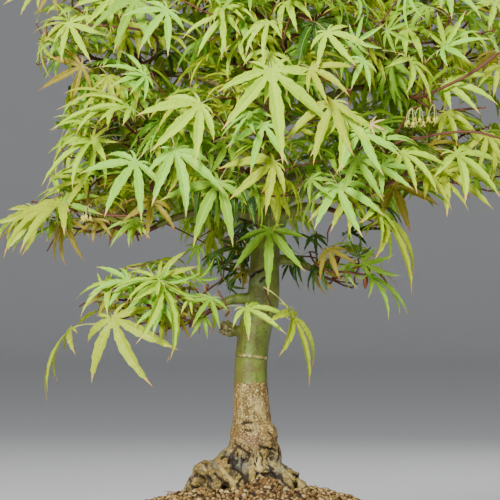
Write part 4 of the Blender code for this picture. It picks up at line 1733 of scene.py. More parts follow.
    def _add_side(
        self, mids: list[int], edge: list[int], teeth: list[int], tip: int, facing: bool
    ) -> None:
        """Adds one half of one face of a lobe, from the hub to the tip.

        Args:
            mids: The midrib's points.
            edge: The margin's notches, starting with the sinus.
            teeth: The points of its teeth.
            tip: The lobe's tip.
            facing: Whether the corners are taken in the order hub, midrib, margin.
        """
        last = len(mids) - 1
        faces = [((mids[0], mids[1], edge[1], edge[0]), Zone.BLADE)]
        for k in range(1, last):
            tooth = teeth[k - 1]
            faces.append(((mids[k], mids[k + 1], tooth, edge[k]), Zone.BLADE))
            faces.append(((mids[k + 1], edge[k + 1], tooth), Zone.BLADE))
        faces.append(((mids[last], tip, edge[last]), Zone.TIP))
        for corners, zone in faces:
            self._add(corners if facing else corners[::-1], zone)
        rim = [edge[0], edge[1]]
        for k in range(1, last):
            rim += [teeth[k - 1], edge[k + 1]]
        rim.append(tip)
        for line in (rim, [*mids, tip]):
            self.sharp |= {tuple(sorted(pair)) for pair in zip(line, line[1:])}

    def object(self, name: str) -> bpy.types.Object:
        """The leaf as an object that the foliage's node tree copies.

        Args:
            name: The object's name.

        Returns:
            The object.
        """
        leaf = mesh_object(name, self.points, self.faces)
        zones = leaf.data.attributes.new("zone", "INT", "FACE")
        zones.data.foreach_set("value", self.zones)
        edges = leaf.data.attributes.new("sharp_edge", "BOOLEAN", "EDGE")
        marks = [tuple(sorted(edge.vertices)) in self.sharp for edge in leaf.data.edges]
        edges.data.foreach_set("value", marks)
        return leaf


@dataclass
class Leaf:
    """A leaf on the tree: its pattern, its place and attitude, its size and its tint."""

    shape: int
    root: Vector
    turn: Matrix
    size: float
    tint: Tint = Tint.FRESH

    def at(self, point: Vector) -> Vector:
        """Where a point of the pattern leaf lies on the tree."""
        return self.root + (self.turn @ point) * self.size


@dataclass(frozen=True)
class ShownLeaf:
    """A leaf that the photo shows: its hub, and the tip of its middle lobe, as photo pixels.

    depth is the hub's Y, and lean says how much nearer to the camera the tip is. roll turns the
    leaf about its middle lobe from facing the camera, in degrees, and curl picks its pattern: 0
    for the flattest and 1 for the one that hangs most.
    """

    hub_column: int
    hub_row: int
    tip_column: int
    tip_row: int
    depth: float
    lean: float
    roll: float
    curl: float
    tint: Tint

    def leaf(self, shapes: Sequence[LeafShape]) -> Leaf:
        """Places a pattern so that its hub and the tip of its middle lobe lie as shown.

        Args:
            shapes: The patterns, from the flattest to the one that hangs most.

        Returns:
            The leaf.
        """
        number = round(self.curl * (len(shapes) - 1))
        shape = shapes[number]
        chord = shape.middle_tip - shape.hub
        hub = VIEW.at((self.hub_column, self.hub_row), self.depth)
        way = VIEW.at((self.tip_column, self.tip_row), self.depth - self.lean) - hub
        facing = Matrix.Rotation(math.radians(self.roll), 3, way) @ Vector((0, -1, 0))
        turn = frame_of(way, facing) @ frame_of(chord, UP).transposed()
        size = way.length / chord.length
        return Leaf(number, hub - (turn @ shape.hub) * size, turn, size, self.tint)


def frame_of(way: Vector, facing: Vector) -> Matrix:
    """The turn that takes X to a way and Z as near to a facing as it can."""
    ahead = way.normalized()
    above = (facing - ahead * facing.dot(ahead)).normalized()
    return Matrix((ahead, above.cross(ahead), above)).transposed()


@dataclass(frozen=True)
class ShownTwig:
    """A twig that the photo shows: its photo pixels, its Y, and how many ends it is as thick as."""

    pixels: Outline
    depth: float
    weight: int


SHOWN_TWIGS = (
    ShownTwig(((391, 146), (420, 138), (447, 133), (475, 132), (502, 139)), -0.066, 5),
    ShownTwig(((424, 96), (446, 86), (470, 74), (500, 52)), -0.062, 9),
    ShownTwig(((440, 112), (458, 110), (481, 108)), -0.046, 5),
    ShownTwig(((152, 34), (120, 27), (88, 25)), -0.058, 5),
    ShownTwig(((150, 210), (120, 216), (95, 213), (64, 205)), -0.044, 5),
    ShownTwig(((321, 268), (345, 272), (366, 275)), -0.020, 3),
)
LIME, GOLDEN, FRESH, DEEP, MINT, BRONZE, CREAM = Tint
SHOWN = (
    (269, 229, 268, 296, -0.046, 0.01, 0, 0, FRESH),
    (271, 70, 283, 166, -0.119, 0.01, -8, 0.1, LIME),
    (200, 104, 150, 152, -0.117, 0.008, 12, 0.3, LIME),
    (175, 150, 186, 218, -0.116, 0.006, -10, 0.3, MINT),
    (219, 182, 193, 248, -0.1, 0.01, 5, 0.2, FRESH),
    (264, 124, 250, 176, -0.108, 0.01, 10, 0.1, MINT),
    (274, 162, 228, 201, -0.098, 0.006, 20, 0.3, GOLDEN),
    (136, 162, 104, 218, -0.07, 0.012, 12, 0.2, MINT),
    (152, 201, 146, 240, -0.055, 0.008, -12, 0.4, BRONZE),
    (135, 221, 110, 248, -0.046, 0.004, 52, 0.3, FRESH),
    (137, 222, 132, 246, -0.044, 0.004, 24, 0.4, GOLDEN),
    (97, 219, 93, 244, -0.04, 0.004, 14, 0.4, BRONZE),
    (59, 203, 3, 260, -0.06, 0.012, 54, 0.7, GOLDEN),
    (34, 211, 4, 252, -0.04, 0.006, -20, 0.7, GOLDEN),
    (67, 221, 66, 267, -0.035, 0.006, 40, 0.5, BRONZE),
    (62, 203, 103, 215, -0.05, 0.004, -30, 0.2, FRESH),
    (84, 182, 44, 196, -0.04, 0.004, 50, 0.4, GOLDEN),
    (88, 122, 49, 131, -0.052, 0.004, 68, 0.3, LIME),
    (93, 140, 41, 187, -0.054, 0.008, 58, 0.2, LIME),
    (93, 141, 76, 191, -0.05, 0.008, -40, 0.3, LIME),
    (93, 139, 120, 142, -0.056, 0.004, 10, 0.1, GOLDEN),
    (112, 108, 52, 131, -0.068, 0.004, 70, 0.3, LIME),
    (130, 108, 78, 114, -0.076, 0.004, 66, 0.3, LIME),
    (104, 93, 63, 110, -0.06, 0.004, 62, 0.3, GOLDEN),
    (144, 75, 99, 67, -0.082, 0.006, 44, 0.2, MINT),
    (146, 76, 129, 96, -0.086, 0.008, 0, 0.2, MINT),
    (69, 23, 92, 64, -0.056, 0.008, 0, 0, LIME),
    (82, 66, 38, 91, -0.046, 0.004, 10, 0.1, BRONZE),
    (42, 40, 52, 80, -0.04, 0.002, 70, 0.4, GOLDEN),
    (68, 23, 32, 34, -0.052, 0.002, 60, 0.6, GOLDEN),
    (68, 21, 54, 2, -0.05, 0.002, 50, 0.1, LIME),
    (58, 40, 47, 66, -0.046, 0.002, 30, 0.3, FRESH),
    (167, 10, 139, 52, -0.098, 0.008, 10, 0.2, MINT),
    (135, 0, 113, 54, -0.082, 0.006, 20, 0.3, FRESH),
    (110, -2, 84, 27, -0.07, 0.006, 10, 0.3, LIME),
    (52, -12, 37, 15, -0.036, 0.004, 20, 0.3, BRONZE),
    (38, -10, 3, 5, -0.034, 0.002, 40, 0.3, GOLDEN),
    (113, 318, 153, 387, -0.046, 0.008, 14, 0.2, GOLDEN),
    (161, 283, 170, 361, -0.05, 0.014, -66, 0.5, LIME),
    (158, 281, 123, 317, -0.048, 0.006, 30, 0.3, FRESH),
    (161, 281, 207, 296, -0.046, 0.004, 46, 0.2, MINT),
    (71, 329, 48, 405, -0.03, 0.004, 80, 0.7, GOLDEN),
    (246, 308, 287, 335, -0.04, 0.008, -46, 0.2, LIME),
    (211, 298, 191, 329, -0.04, 0.01, 20, 0.1, FRESH),
    (291, 313, 309, 388, -0.04, 0.002, -69, 0.2, GOLDEN),
    (158, 280, 110, 290, -0.054, 0.004, 62, 0.2, LIME),
    (160, 276, 198, 266, -0.044, 0.002, -20, 0.2, GOLDEN),
    (113, 281, 80, 318, -0.034, 0.004, 58, 0.4, LIME),
    (128, 280, 88, 296, -0.042, 0.004, 30, 0.2, MINT),
    (132, 280, 137, 264, -0.03, 0.002, 10, 0.1, GOLDEN),
    (103, 290, 113, 270, -0.026, 0.002, 10, 0.1, LIME),
    (110, 293, 97, 318, -0.038, 0.004, 20, 0.3, BRONZE),
    (164, 306, 134, 328, -0.052, 0.004, 30, 0.2, MINT),
    (164, 318, 138, 341, -0.036, 0.004, 40, 0.4, GOLDEN),
    (190, 298, 181, 315, -0.04, 0.004, 20, 0.2, LIME),
    (176, 312, 178, 343, -0.028, 0.004, 20, 0.5, BRONZE),
    (203, 316, 190, 338, -0.022, 0.004, 10, 0.3, FRESH),
    (198, 279, 214, 258, -0.03, 0.004, 20, 0.2, FRESH),
    # Leaves in the deep tint, here and below, are painted shade behind and beside the trunk.
    (228, 284, 248, 288, 0.004, 0.004, 40, 0.4, DEEP),
    (215, 254, 211, 280, 0.016, 0.006, 10, 0.5, DEEP),
    (236, 246, 222, 272, 0.022, 0.004, -15, 0.4, DEEP),
    (243, 258, 226, 276, 0.034, 0.004, 20, 0.3, DEEP),
    (236, 272, 216, 288, 0.04, 0.004, 10, 0.2, DEEP),
    (246, 270, 242, 292, 0.028, 0.004, -10, 0.4, BRONZE),
    (222, 262, 206, 270, 0.03, 0.004, 30, 0.3, DEEP),
    (290, 262, 296, 282, 0.03, 0.004, 20, 0.4, DEEP),
    (198, 246, 186, 268, 0.01, 0.004, 20, 0.6, FRESH),
    (338, 186, 363, 238, -0.086, 0.01, -8, 0.2, MINT),
    (383, 214, 412, 296, -0.07, 0.006, -70, 0.2, GOLDEN),
    (375, 208, 388, 265, -0.078, 0.008, -64, 0.3, LIME),
    (311, 179, 332, 196, -0.09, 0.006, 0, 0.2, FRESH),
    (328, 249, 340, 281, -0.03, 0.006, 10, 0.3, BRONZE),
    (369, 276, 408, 315, -0.02, 0.002, -74, 0.5, FRESH),
    (363, 262, 402, 276, -0.022, 0.004, 45, 0.3, FRESH),
    (358, 256, 360, 235, -0.024, 0.002, 15, 0.2, DEEP),
    (315, 235, 316, 257, 0.012, 0.006, 10, 0.3, DEEP),
    (299, 258, 302, 292, -0.012, 0.002, 60, 0.7, DEEP),
    (316, 266, 337, 291, -0.004, 0.004, 30, 0.5, BRONZE),
    (348, 266, 358, 289, -0.014, 0.004, 36, 0.5, FRESH),
    (321, 263, 315, 296, -0.006, 0.004, 44, 0.5, DEEP),
    (360, 133, 384, 176, -0.112, 0.01, -10, 0.2, MINT),
    (357, 158, 384, 202, -0.1, 0.006, -20, 0.2, FRESH),
    (382, 166, 414, 190, -0.088, 0.004, -20, 0.2, MINT),
    (402, 152, 438, 196, -0.078, 0.004, -40, 0.3, LIME),
    (443, 170, 494, 210, -0.054, 0.004, -40, 0.2, GOLDEN),
    (427, 175, 469, 212, -0.058, 0.004, -50, 0.3, GOLDEN),
    (456, 153, 500, 198, -0.062, 0.004, -50, 0.4, LIME),
    (487, 134, 478, 172, -0.036, 0.004, 10, 0.3, GOLDEN),
    (394, 184, 411, 234, -0.03, 0.004, -10, 0.4, BRONZE),
    (333, 102, 313, 166, -0.112, 0.004, 30, 0.3, GOLDEN),
    (345, 114, 339, 174, -0.108, 0.006, 5, 0.3, LIME),
    (327, 32, 357, 67, -0.116, 0.008, -10, 0.2, LIME),
    (364, 61, 351, 90, -0.11, 0.008, 5, 0.2, MINT),
    (356, 42, 385, 24, -0.104, 0.004, 0, 0.1, MINT),
    (387, 30, 417, 44, -0.092, 0.004, 10, 0.1, FRESH),
    (409, -12, 411, 36, -0.098, 0.004, 64, 0.2, MINT),
    (311, 68, 350, 97, -0.118, 0.004, -20, 0.3, GOLDEN),
    (443, 48, 492, 39, -0.07, 0.004, -56, 0.2, MINT),
    (445, 46, 466, 10, -0.066, 0.004, 0, 0.1, LIME),
    (409, 59, 431, 106, -0.088, 0.006, -64, 0.4, LIME),
    (446, 84, 499, 106, -0.054, 0.004, -40, 0.3, LIME),
    (498, 66, 493, 98, -0.05, 0.004, 10, 0.3, GOLDEN),
    (447, 112, 457, 147, -0.05, 0.006, -10, 0.3, GOLDEN),
    (371, 124, 387, 131, -0.112, 0.004, 0, 0.1, CREAM),
)


class LeafKit:
    """The pattern leaves, and the node tree that hangs them on points."""

    def __init__(self, count: int, seed: int) -> None:
        """Makes the patterns.

        Args:
            count: How many patterns there are.
            seed: The first one's seed.
        """
        self.shapes = sorted((LeafShape(seed + i) for i in range(count)), key=lambda s: s.droop)
        leaves = (shape.object(f"pattern_{i:02d}") for i, shape in enumerate(self.shapes))
        self.patterns = Patterns("pattern_leaves", leaves)
        self.scatter = self._build_scatter()

    def _build_scatter(self) -> Scatter:
        """Builds the node tree: a pattern on each point, and each zone of it in its finish.

        Returns:
            The tree.
        """
        tree = Scatter("hang_leaves", {})
        angles = self._named(tree, "turn", "FLOAT_VECTOR")
        turn = tree.node("FunctionNodeEulerToRotation", {}, {0: angles})
        number, size = self._named(tree, "shape", "INT"), self._named(tree, "size", "FLOAT")
        geometry = tree.copies(tree.given["Geometry"], number, turn.outputs[0], size)
        zone, tint = self._named(tree, "zone", "INT"), self._named(tree, "tint", "INT")
        rows = [(self._equal(tree, zone, Zone.STALK.value), STALK)]
        for wanted in Tint:
            for part in (Zone.BLADE, Zone.TIP, Zone.VEIN):
                in_zone = self._equal(tree, zone, part.value)
                both = {0: in_zone, 1: self._equal(tree, tint, wanted.number)}
                chosen = tree.node("FunctionNodeBooleanMath", {"operation": "AND"}, both)
                rows.append((chosen.outputs[0], wanted.finish(part)))
        for chosen, finish in rows:
            inputs = {"Geometry": geometry, "Selection": chosen, "Material": finish.material()}
            geometry = tree.node("GeometryNodeSetMaterial", {}, inputs).outputs[0]
        tree.node("NodeGroupOutput", {}, {0: geometry})
        return tree

    @staticmethod
    def _named(tree: NodeTree, name: str, kind: str) -> Socket:
        """A named attribute's socket."""
        node = tree.node("GeometryNodeInputNamedAttribute", {"data_type": kind}, {"Name": name})
        return node.outputs["Attribute"]

    @staticmethod
    def _equal(tree: NodeTree, source: Socket, number: int) -> Socket:
        """Whether a whole number is a given one."""
        settings = {"data_type": "INT", "operation": "EQUAL"}
        return tree.node("FunctionNodeCompare", settings, {"A_INT": source, "B_INT": number}).outputs[0]

    def hang(self, name: str, leaves: Sequence[Leaf], length: float) -> bpy.types.Object:
        """Makes a plain mesh of leaves.

        Args:
            name: The piece's name.
            leaves: The leaves.
            length: The length that a leaf of size 1 has.

        Returns:
            The object.
        """
        points = mesh_object(name + "_points", [leaf.root for leaf in leaves], [])
        values = {
            "size": ("FLOAT", "value", [leaf.size / length for leaf in leaves]),
            "shape": ("INT", "value", [leaf.shape for leaf in leaves]),
            "tint": ("INT", "value", [leaf.tint.number for leaf in leaves]),
            "turn": ("FLOAT_VECTOR", "vector", [a for leaf in leaves for a in leaf.turn.to_euler()]),
        }
        for key, (kind, field_name, numbers) in values.items():
            points.data.attributes.new(key, kind, "POINT").data.foreach_set(field_name, numbers)
        inputs = {"Patterns": self.patterns.collection, "Size": length}
        piece = self.scatter.run(points, inputs, name)
        for key in ("zone", *values):
            if key in piece.data.attributes:
                piece.data.attributes.remove(piece.data.attributes[key])
        return piece


# Twigs and foliage


@dataclass
class Habit:
    """How the twigs branch and the leaves hang, on the whole tree."""

    leaf_length: float = 0.043
    leaf_sizes: Pair = (0.58, 0.95)
    finer: float = 7.0
    leaves_per_spray: float = 13.5
    stem_length: float = 0.012
    shells: tuple[float, ...] = (0.78, 0.50, 0.66, 0.30, 0.72, 0.58)
    highest: float = 0.96
    lowest: float = -0.85
    way_back: float = 0.35
    turn_cost: float = 0.5
    twig_radius: float = 0.00046
    pipe_power: float = 0.29
    twig_sides: int = 5
    steepest: float = 66
    flattest: float = 14
    most_lift: float = 20
    droop_chance: float = 16
    roll_chance: float = 24
    own_reach: float = 1.25
    clear_of_leaves: float = 0.0064
    clear_of_wood: float = 0.002
    # Painted light and shade: leaves of the sunny masses and outer leaves take paler tints, inner leaves
    # the deep one.
    sunny: tuple[str, ...] = ("low_left", "left_long", "right_low")
    tint_chances: tuple[tuple[float, tuple[int, ...]], ...] = (
        (0.95, (38, 32, 13, 0, 9, 7, 1)),
        (0.6, (24, 30, 30, 5, 8, 3, 0)),
        (-math.inf, (4, 12, 44, 34, 6, 1, 0)),
    )
    turns: tuple[float, ...] = (0, 75, -75, 150, -150, 110, -110, 35, -35)
    tries: tuple[Pair, ...] = (
        (8, 0), (20, 8), (35, 20), (50, 35), (65, 50), (30, 65), (60, 80)
    )


class Crown:
    """All the foliage: it holds what the masses' leaves and twigs must stay clear of."""

    def __init__(self, trunk: Trunk, wood: bpy.types.Object, habit: Habit) -> None:
        """Prepares the crown round the wood.

        Args:
            trunk: The plan of trunk and boughs.
            wood: The finished wood.
            habit: How the foliage grows.
        """
        self.trunk = trunk
        self.habit = habit
        self.spaces = Spaces(MASSES)
        corners = [vert.co.copy() for vert in wood.data.vertices]
        self.wood = BVHTree.FromPolygons(corners, [tuple(p.vertices) for p in wood.data.polygons])
        self.kit = LeafKit(count=16, seed=40)
        self.leaves: list[Leaf] = []
        self.blades: list[BVHTree] = []
        self.hubs: list[Vector] = []
        self.seen: list[tuple[Vector, list[Vector]]] = []
        self.foliage = [Foliage(self, mass, number) for number, mass in enumerate(MASSES)]

    def build(self) -> None:
        """Grows every mass, and makes its twigs and leaves."""
        for foliage in self.foliage:
            foliage.grow()
        for twig in SHOWN_TWIGS:
            points = [VIEW.at(pixel, twig.depth) for pixel in twig.pixels]
            self.nearest(points[0]).carry_twig(points, twig.weight)
        for row in SHOWN:
            self._add_shown(ShownLeaf(*row))
        blossoms = Blossoms(self)
        blossoms.hang_shown()
        twigs = Shell()
        for foliage in self.foliage:
            foliage.add_twigs(twigs, 3, dict.fromkeys(range(2, len(foliage.nodes)), 1))
        self.twigs = BVHTree.FromPolygons(twigs.points, twigs.faces)
        for turn in self.habit.turns:
            for foliage in self.foliage:
                foliage.leaf_out(turn)
        blossoms.hang_more()
        blossoms.build()
        for foliage in self.foliage:
            foliage.build()
        self.kit.patterns.clear()
        log.info("%d leaves", len(self.leaves))

    def nearest(self, place: Vector) -> Foliage:
        """The foliage whose space is nearest to a place."""
        return self.foliage[int(self.spaces.shares([place])[0].argmin())]

    def _add_shown(self, shown: ShownLeaf) -> None:
        """Adds a leaf of the photo to the nearest mass, on a twig of its own."""
        leaf = shown.leaf(self.kit.shapes)
        self.nearest(leaf.root).carry(leaf)
        points, blade = self.blade_of(leaf)
        self.seen.append((points[0], points))
        self._keep(leaf, points[0], blade)

    def _keep(self, leaf: Leaf, hub: Vector, blade: BVHTree) -> None:
        """Enters a leaf in the crown's lists."""
        self.leaves.append(leaf)
        self.blades.append(blade)
        self.hubs.append(hub)

    def _hides_shown(self, points: Sequence[Vector], blade: BVHTree) -> bool:
        """Says whether a blade would stand between the camera and a leaf that the photo shows.

        Args:
            points: The blade's corners, the hub first.
            blade: Its search tree.

        Returns:
            True if it would.
        """
        hub = points[0]
        for other, parts in self.seen:
            level = Vector((other.x - hub.x, other.z - hub.z))
            if hub.y > other.y + 0.02 or level.length > 0.075:
                continue
            for part in parts:
                way = part - VIEW.eye
                if blade.ray_cast(VIEW.eye, way.normalized(), way.length - 0.001)[0]:
                    return True
        return False

    def blade_of(self, leaf: Leaf) -> tuple[list[Vector], BVHTree]:
        """The corners and the search tree of a leaf's plain outline."""
        shape = self.kit.shapes[leaf.shape]
        points = [leaf.at(point) for point in shape.coarse]
        return points, BVHTree.FromPolygons(points, shape.coarse_faces)

    def has_room(self, leaf: Leaf, own: int) -> bool:
        """Says whether a leaf keeps to the crown and clear of wood, twigs and other leaves.

        Args:
            leaf: The leaf to try.
            own: The number of the mass that bears it.

        Returns:
            True if it has room. The leaf is then kept in the crown's lists.
        """
        points, blade = self.blade_of(leaf)
        shares = self.spaces.shares(points)
        if shares.min(axis=1).max() > 1.0 or shares[:, own].max() > self.habit.own_reach:
            return False
        if any(SKY.shows(point) for point in points):
            return False
        if blade.overlap(self.wood) or blade.overlap(self.twigs):
            return False
        hub = points[0]
        way = hub - leaf.root
        for other, tree in zip(self.hubs, self.blades):
            if (other - hub).length_squared > self.habit.clear_of_leaves:
                continue
            if blade.overlap(tree) or tree.ray_cast(leaf.root, way.normalized(), way.length)[0]:
                return False
        if self._hides_shown(points, blade):
            return False
        self._keep(leaf, hub, blade)
        return True


class Foliage:
    """The twigs and leaves of one mass."""

    def __init__(self, crown: Crown, mass: Mass, number: int) -> None:
        """Starts the mass's stem.

        Args:
            crown: The crown that it is part of.
            mass: Its space.
            number: Its place among the masses, which seeds its chances.
        """
        self.crown = crown
        self.habit = crown.habit
        self.mass = mass
        self.number = number
        self.rule = random.Random(number)
        start, heading = crown.trunk.stem(mass)
        self.nodes = [start - heading * 0.002, start + heading * self.habit.stem_length]
        self.parents: list[int | None] = [None, 0]
        self.way = [0.0, self.habit.stem_length]
        self.leaves: list[Leaf] = []
        self.bearers: Counter[int] = Counter()
        self.tints: dict[int, Tint] = {}

    def _in_cell(self, points: Sequence[Vector]) -> bool:
        """Whether every point is in this mass's own share of the crown."""
        shares = self.crown.spaces.shares(points)
        own = shares[:, self.number]
        return bool((own <= 1).all() and (shares.min(axis=1) >= own - 1e-9).all())

    def _clear_line(self, start: Vector, end: Vector) -> bool:
        """Whether a twig may run between two points.

        Args:
            start: One end.
            end: The other end.

        Returns:
            True if it may.
        """
        steps = max(3, int((end - start).length / 0.005))
        points = [start.lerp(end, i / steps) for i in range(1, steps + 1)]
        if not self._in_cell(points[steps // 2 :]):
            return False
        clear = self.habit.clear_of_wood
        return not any(self.crown.wood.find_nearest(point, clear)[0] for point in points)

    def _spray_points(self) -> list[Vector]:
        """Where twigs end: points spread evenly by the golden angle over shells of the space.

        Returns:
            The points, in the order in which they are joined.
        """
        habit = self.habit
        wanted = round(self.mass.sprays * habit.finer)
        tries = wanted * 2
        golden = math.pi * (3 - math.sqrt(5))
        turn = self.rule.uniform(0, math.tau)
        found = []
        for i in range(tries):
            rise = habit.highest + (habit.lowest - habit.highest) * (i + 0.5) / tries
            level = math.sqrt(1 - rise * rise)
            angle = turn + golden * i
            shell = habit.shells[i % len(habit.shells)] * self.rule.uniform(0.88, 1.12)
            point = self.mass.place(
                shell * level * math.cos(angle), shell * level * math.sin(angle), shell * rise
            )
            near_wood = self.crown.wood.find_nearest(point, habit.clear_of_wood * 2)[0]
            if self._in_cell([point]) and not near_wood and not SKY.shows(point):
                found.append(point)
        self.rule.shuffle(found)
        return found[:wanted]

    def grow(self) -> None:
        """Joins the spray points to the stem one by one, each time by the cheapest twig.

        A twig costs its own length and part of the way back from it to the stem's foot.
        """
        left = self._spray_points()
        costs = {id(point): (math.inf, -1) for point in left}
        fresh = [1]
        while left:
            for point in left:
                cost, best = costs[id(point)]
                for i in fresh:
                    price = self._price(i, point) + self.habit.way_back * self.way[i]
                    if price < cost and self._clear_line(self.nodes[i], point):
                        cost, best = price, i
                costs[id(point)] = (cost, best)
            point = min(left, key=lambda one: costs[id(one)][0])
            cost, parent = costs[id(point)]
            if math.isinf(cost):
                return
            fresh = [self._reach(point, parent)]
            left.remove(point)

    def carry(self, leaf: Leaf) -> None:
        """Grows a twig to the foot of a leaf whose place is given, and hangs the leaf there.

        Args:
            leaf: The leaf.
        """
        node = self._reach(leaf.root.copy(), self._nearest(leaf.root))
        self.tints[node] = leaf.tint
        self.bearers[node] += 1
        self.leaves.append(leaf)

    def carry_twig(self, points: Sequence[Vector], weight: int) -> None:
        """Grows a twig through given places.

        Args:
            points: The places.
            weight: How many twig ends it is as thick as.
        """
        node = self._nearest(points[0])
        for point in points:
            node = self._reach(point, node)
        self.bearers[node] += weight

    def _nearest(self, place: Vector) -> int:
        """The node from which a twig reaches a place at the least cost, clear of the wood.

        Args:
            place: The place to reach.

        Returns:
            The node's number.
        """
        best, least = 1, math.inf
        for i in range(1, len(self.nodes)):
            way = place - self.nodes[i]
            blocked = self.crown.wood.ray_cast(self.nodes[i], way.normalized(), way.length)[0]
            cost = self._price(i, place)
            if cost < least and not blocked:
                best, least = i, cost
        return best

    def _price(self, node: int, place: Vector) -> float:
        """What a twig from a node to a place costs: its length, and more the more it turns."""
        way = place - self.nodes[node]
        turn = 1 - self.heading(node).dot(way.normalized())
        return way.length * (1 + self.habit.turn_cost * turn)

    def _reach(self, point: Vector, parent: int) -> int:
        """Adds a node at a point, and gives its number."""
        self.nodes.append(point)
        self.parents.append(parent)
        self.way.append(self.way[parent] + (point - self.nodes[parent]).length)
        return len(self.nodes) - 1

    def heading(self, node: int) -> Vector:
        """The direction in which the twig that ends at a node runs."""
        return (self.nodes[node] - self.nodes[self.parents[node]]).normalized()

    def _runs(self, bearers: Mapping[int, int]) -> tuple[list[list[int]], list[int]]:
        """The twigs as runs of nodes, each going on through the child that bears the most.

        Args:
            bearers: How much each node bears. Twigs that bear nothing are left out.

        Returns:
            The runs, and how many bearers each node carries.
        """
        load = [bearers.get(i, 0) for i in range(len(self.nodes))]
        for i in range(len(self.nodes) - 1, 0, -1):
            load[self.parents[i]] += load[i]
        children: dict[int, list[int]] = {i: [] for i in range(len(self.nodes))}
        for i in range(1, len(self.nodes)):
            if load[i]:
                children[self.parents[i]].append(i)
        runs = []
        waiting = [[0, 1]]
        while waiting:
            run = waiting.pop()
            while children[run[-1]]:
                heir = max(children[run[-1]], key=lambda i: load[i])
                waiting += [[run[-1], i] for i in children[run[-1]] if i != heir]
                run.append(heir)
            runs.append(run)
        return runs, load

    def add_twigs(self, shell: Shell, sides: int, bearers: Mapping[int, int]) -> None:
        """Adds the twigs to a shell, as tapering tubes that bend from node to node.

        Args:
            shell: The shell to add to.
            sides: Sides round each twig.
            bearers: How much each node bears.
        """
        habit = self.habit
        runs, load = self._runs(bearers)
        for run in runs:
            places = [self.nodes[i] for i in run]
            ways = [(after - before).normalized() for before, after in zip(places, places[2:])]
            first = (places[1] - places[0]).normalized()
            if run[0] != 0:
                first = (first + self.heading(run[0]) * 0.6).normalized()
            ways = [first, *ways, (places[-1] - places[-2]).normalized()]
            path, radii = [], []
            for k, (start, end) in enumerate(zip(places, places[1:])):
                span = (end - start).length
                steps = max(2, round(span / 0.006))
                wide = habit.twig_radius * load[run[k + 1]] ** habit.pipe_power
                for i in range(steps):
                    t = i / steps
                    path.append(curved(start, end, ways[k] * span, ways[k + 1] * span, t))
                    radii.append(wide * (1.12 - 0.12 * t))
            path.append(places[-1])
            radii.append(habit.twig_radius * 0.9)
            shell.tube(path, radii, sides)

    def leaf_out(self, turn: float) -> None:
        """Tries one more leaf at each node, turned this far from the way out of the crown.

        Args:
            turn: Degrees round the node from its way outward.
        """
        most = round(self.mass.sprays * self.habit.leaves_per_spray)
        for node in range(2, len(self.nodes)):
            if len(self.leaves) >= most:
                return
            place = self.nodes[node]
            away = place - self.mass.middle + Vector((place.x, place.y, 0)) * 0.25
            azimuth = math.atan2(away.y, away.x) + math.radians(turn)
            for spread, lift in self.habit.tries:
                leaf = self._hung_leaf(node, azimuth, spread, lift)
                if self.crown.has_room(leaf, self.number):
                    leaf.tint = self._tint(node)
                    self.bearers[node] += 1
                    self.leaves.append(leaf)
                    break

    def _hung_leaf(self, node: int, azimuth: float, spread: float, lift: float) -> Leaf:
        """A leaf that hangs out from a node, with some chance in its pose.

        Args:
            node: The node.
            azimuth: The way out, in radians.
            spread: How far the leaf may turn from it, in degrees.
            lift: How much less than usual it hangs, in degrees.

        Returns:
            The leaf.
        """
        root = self.nodes[node]
        facing = compass(azimuth + math.radians(self.rule.uniform(-spread, spread)))
        rise = (root.z - self.mass.middle.z) / self.mass.up
        steep = self.habit.steepest
        droop = steep + (self.habit.flattest - steep) * min(max(rise + 0.3, 0), 1)
        chance, roll = self.habit.droop_chance, self.habit.roll_chance
        droop = max(droop - lift, -self.habit.most_lift) + self.rule.uniform(-chance, chance)
        droop = math.radians(droop)
        axis = facing * math.cos(droop) - UP * math.sin(droop)
        normal = facing * math.sin(droop) + UP * math.cos(droop)
        rolled = Matrix.Rotation(math.radians(self.rule.uniform(-roll, roll)), 3, axis)
        normal = (rolled @ normal).normalized()
        matrix = Matrix((axis, normal.cross(axis), normal)).transposed()
        size = self.habit.leaf_length * self.rule.uniform(*self.habit.leaf_sizes)
        return Leaf(self.rule.randrange(len(self.crown.kit.shapes)), root, matrix, size)

    def _tint(self, node: int) -> Tint:
        """The tint of a node's leaves, which a spray shares: pale outside and on top as painted light,
        and deep inside as painted shade.

        Args:
            node: The node's number.

        Returns:
            The tint.
        """
        if node in self.tints:
            return self.tints[node]
        point = self.nodes[node]
        level = Vector((point.x, point.y, 0)).length
        # Painted light and shade: leaves further out, higher up and in sunny masses take paler tints,
        # and inner leaves deeper ones.
        outer = level / 0.115 + max(point.z - GROUND - 0.2, 0) / 0.3 + self.rule.uniform(-0.3, 0.3)
        if self.mass.name in self.habit.sunny:
            outer += 0.5
        weights = next(row for least, row in self.habit.tint_chances if outer > least)
        choice = self.rule.choices(list(Tint), weights)[0]
        self.tints[node] = choice
        return choice

    def build(self) -> None:
        """Makes the mass's twigs and its leaves, as two pieces."""
        node = f"foliage_{self.mass.name}"
        shell = Shell()
        self.add_twigs(shell, self.habit.twig_sides, self.bearers)
        twigs = shell.object(f"twigs_{self.mass.name}", TWIG_BARK)
        keep(twigs, Slot.YOUNG_BARK)
        leaves = self.crown.kit.hang(f"leaves_{self.mass.name}", self.leaves, self.habit.leaf_length)
        keep(leaves, Slot.LEAF, node)


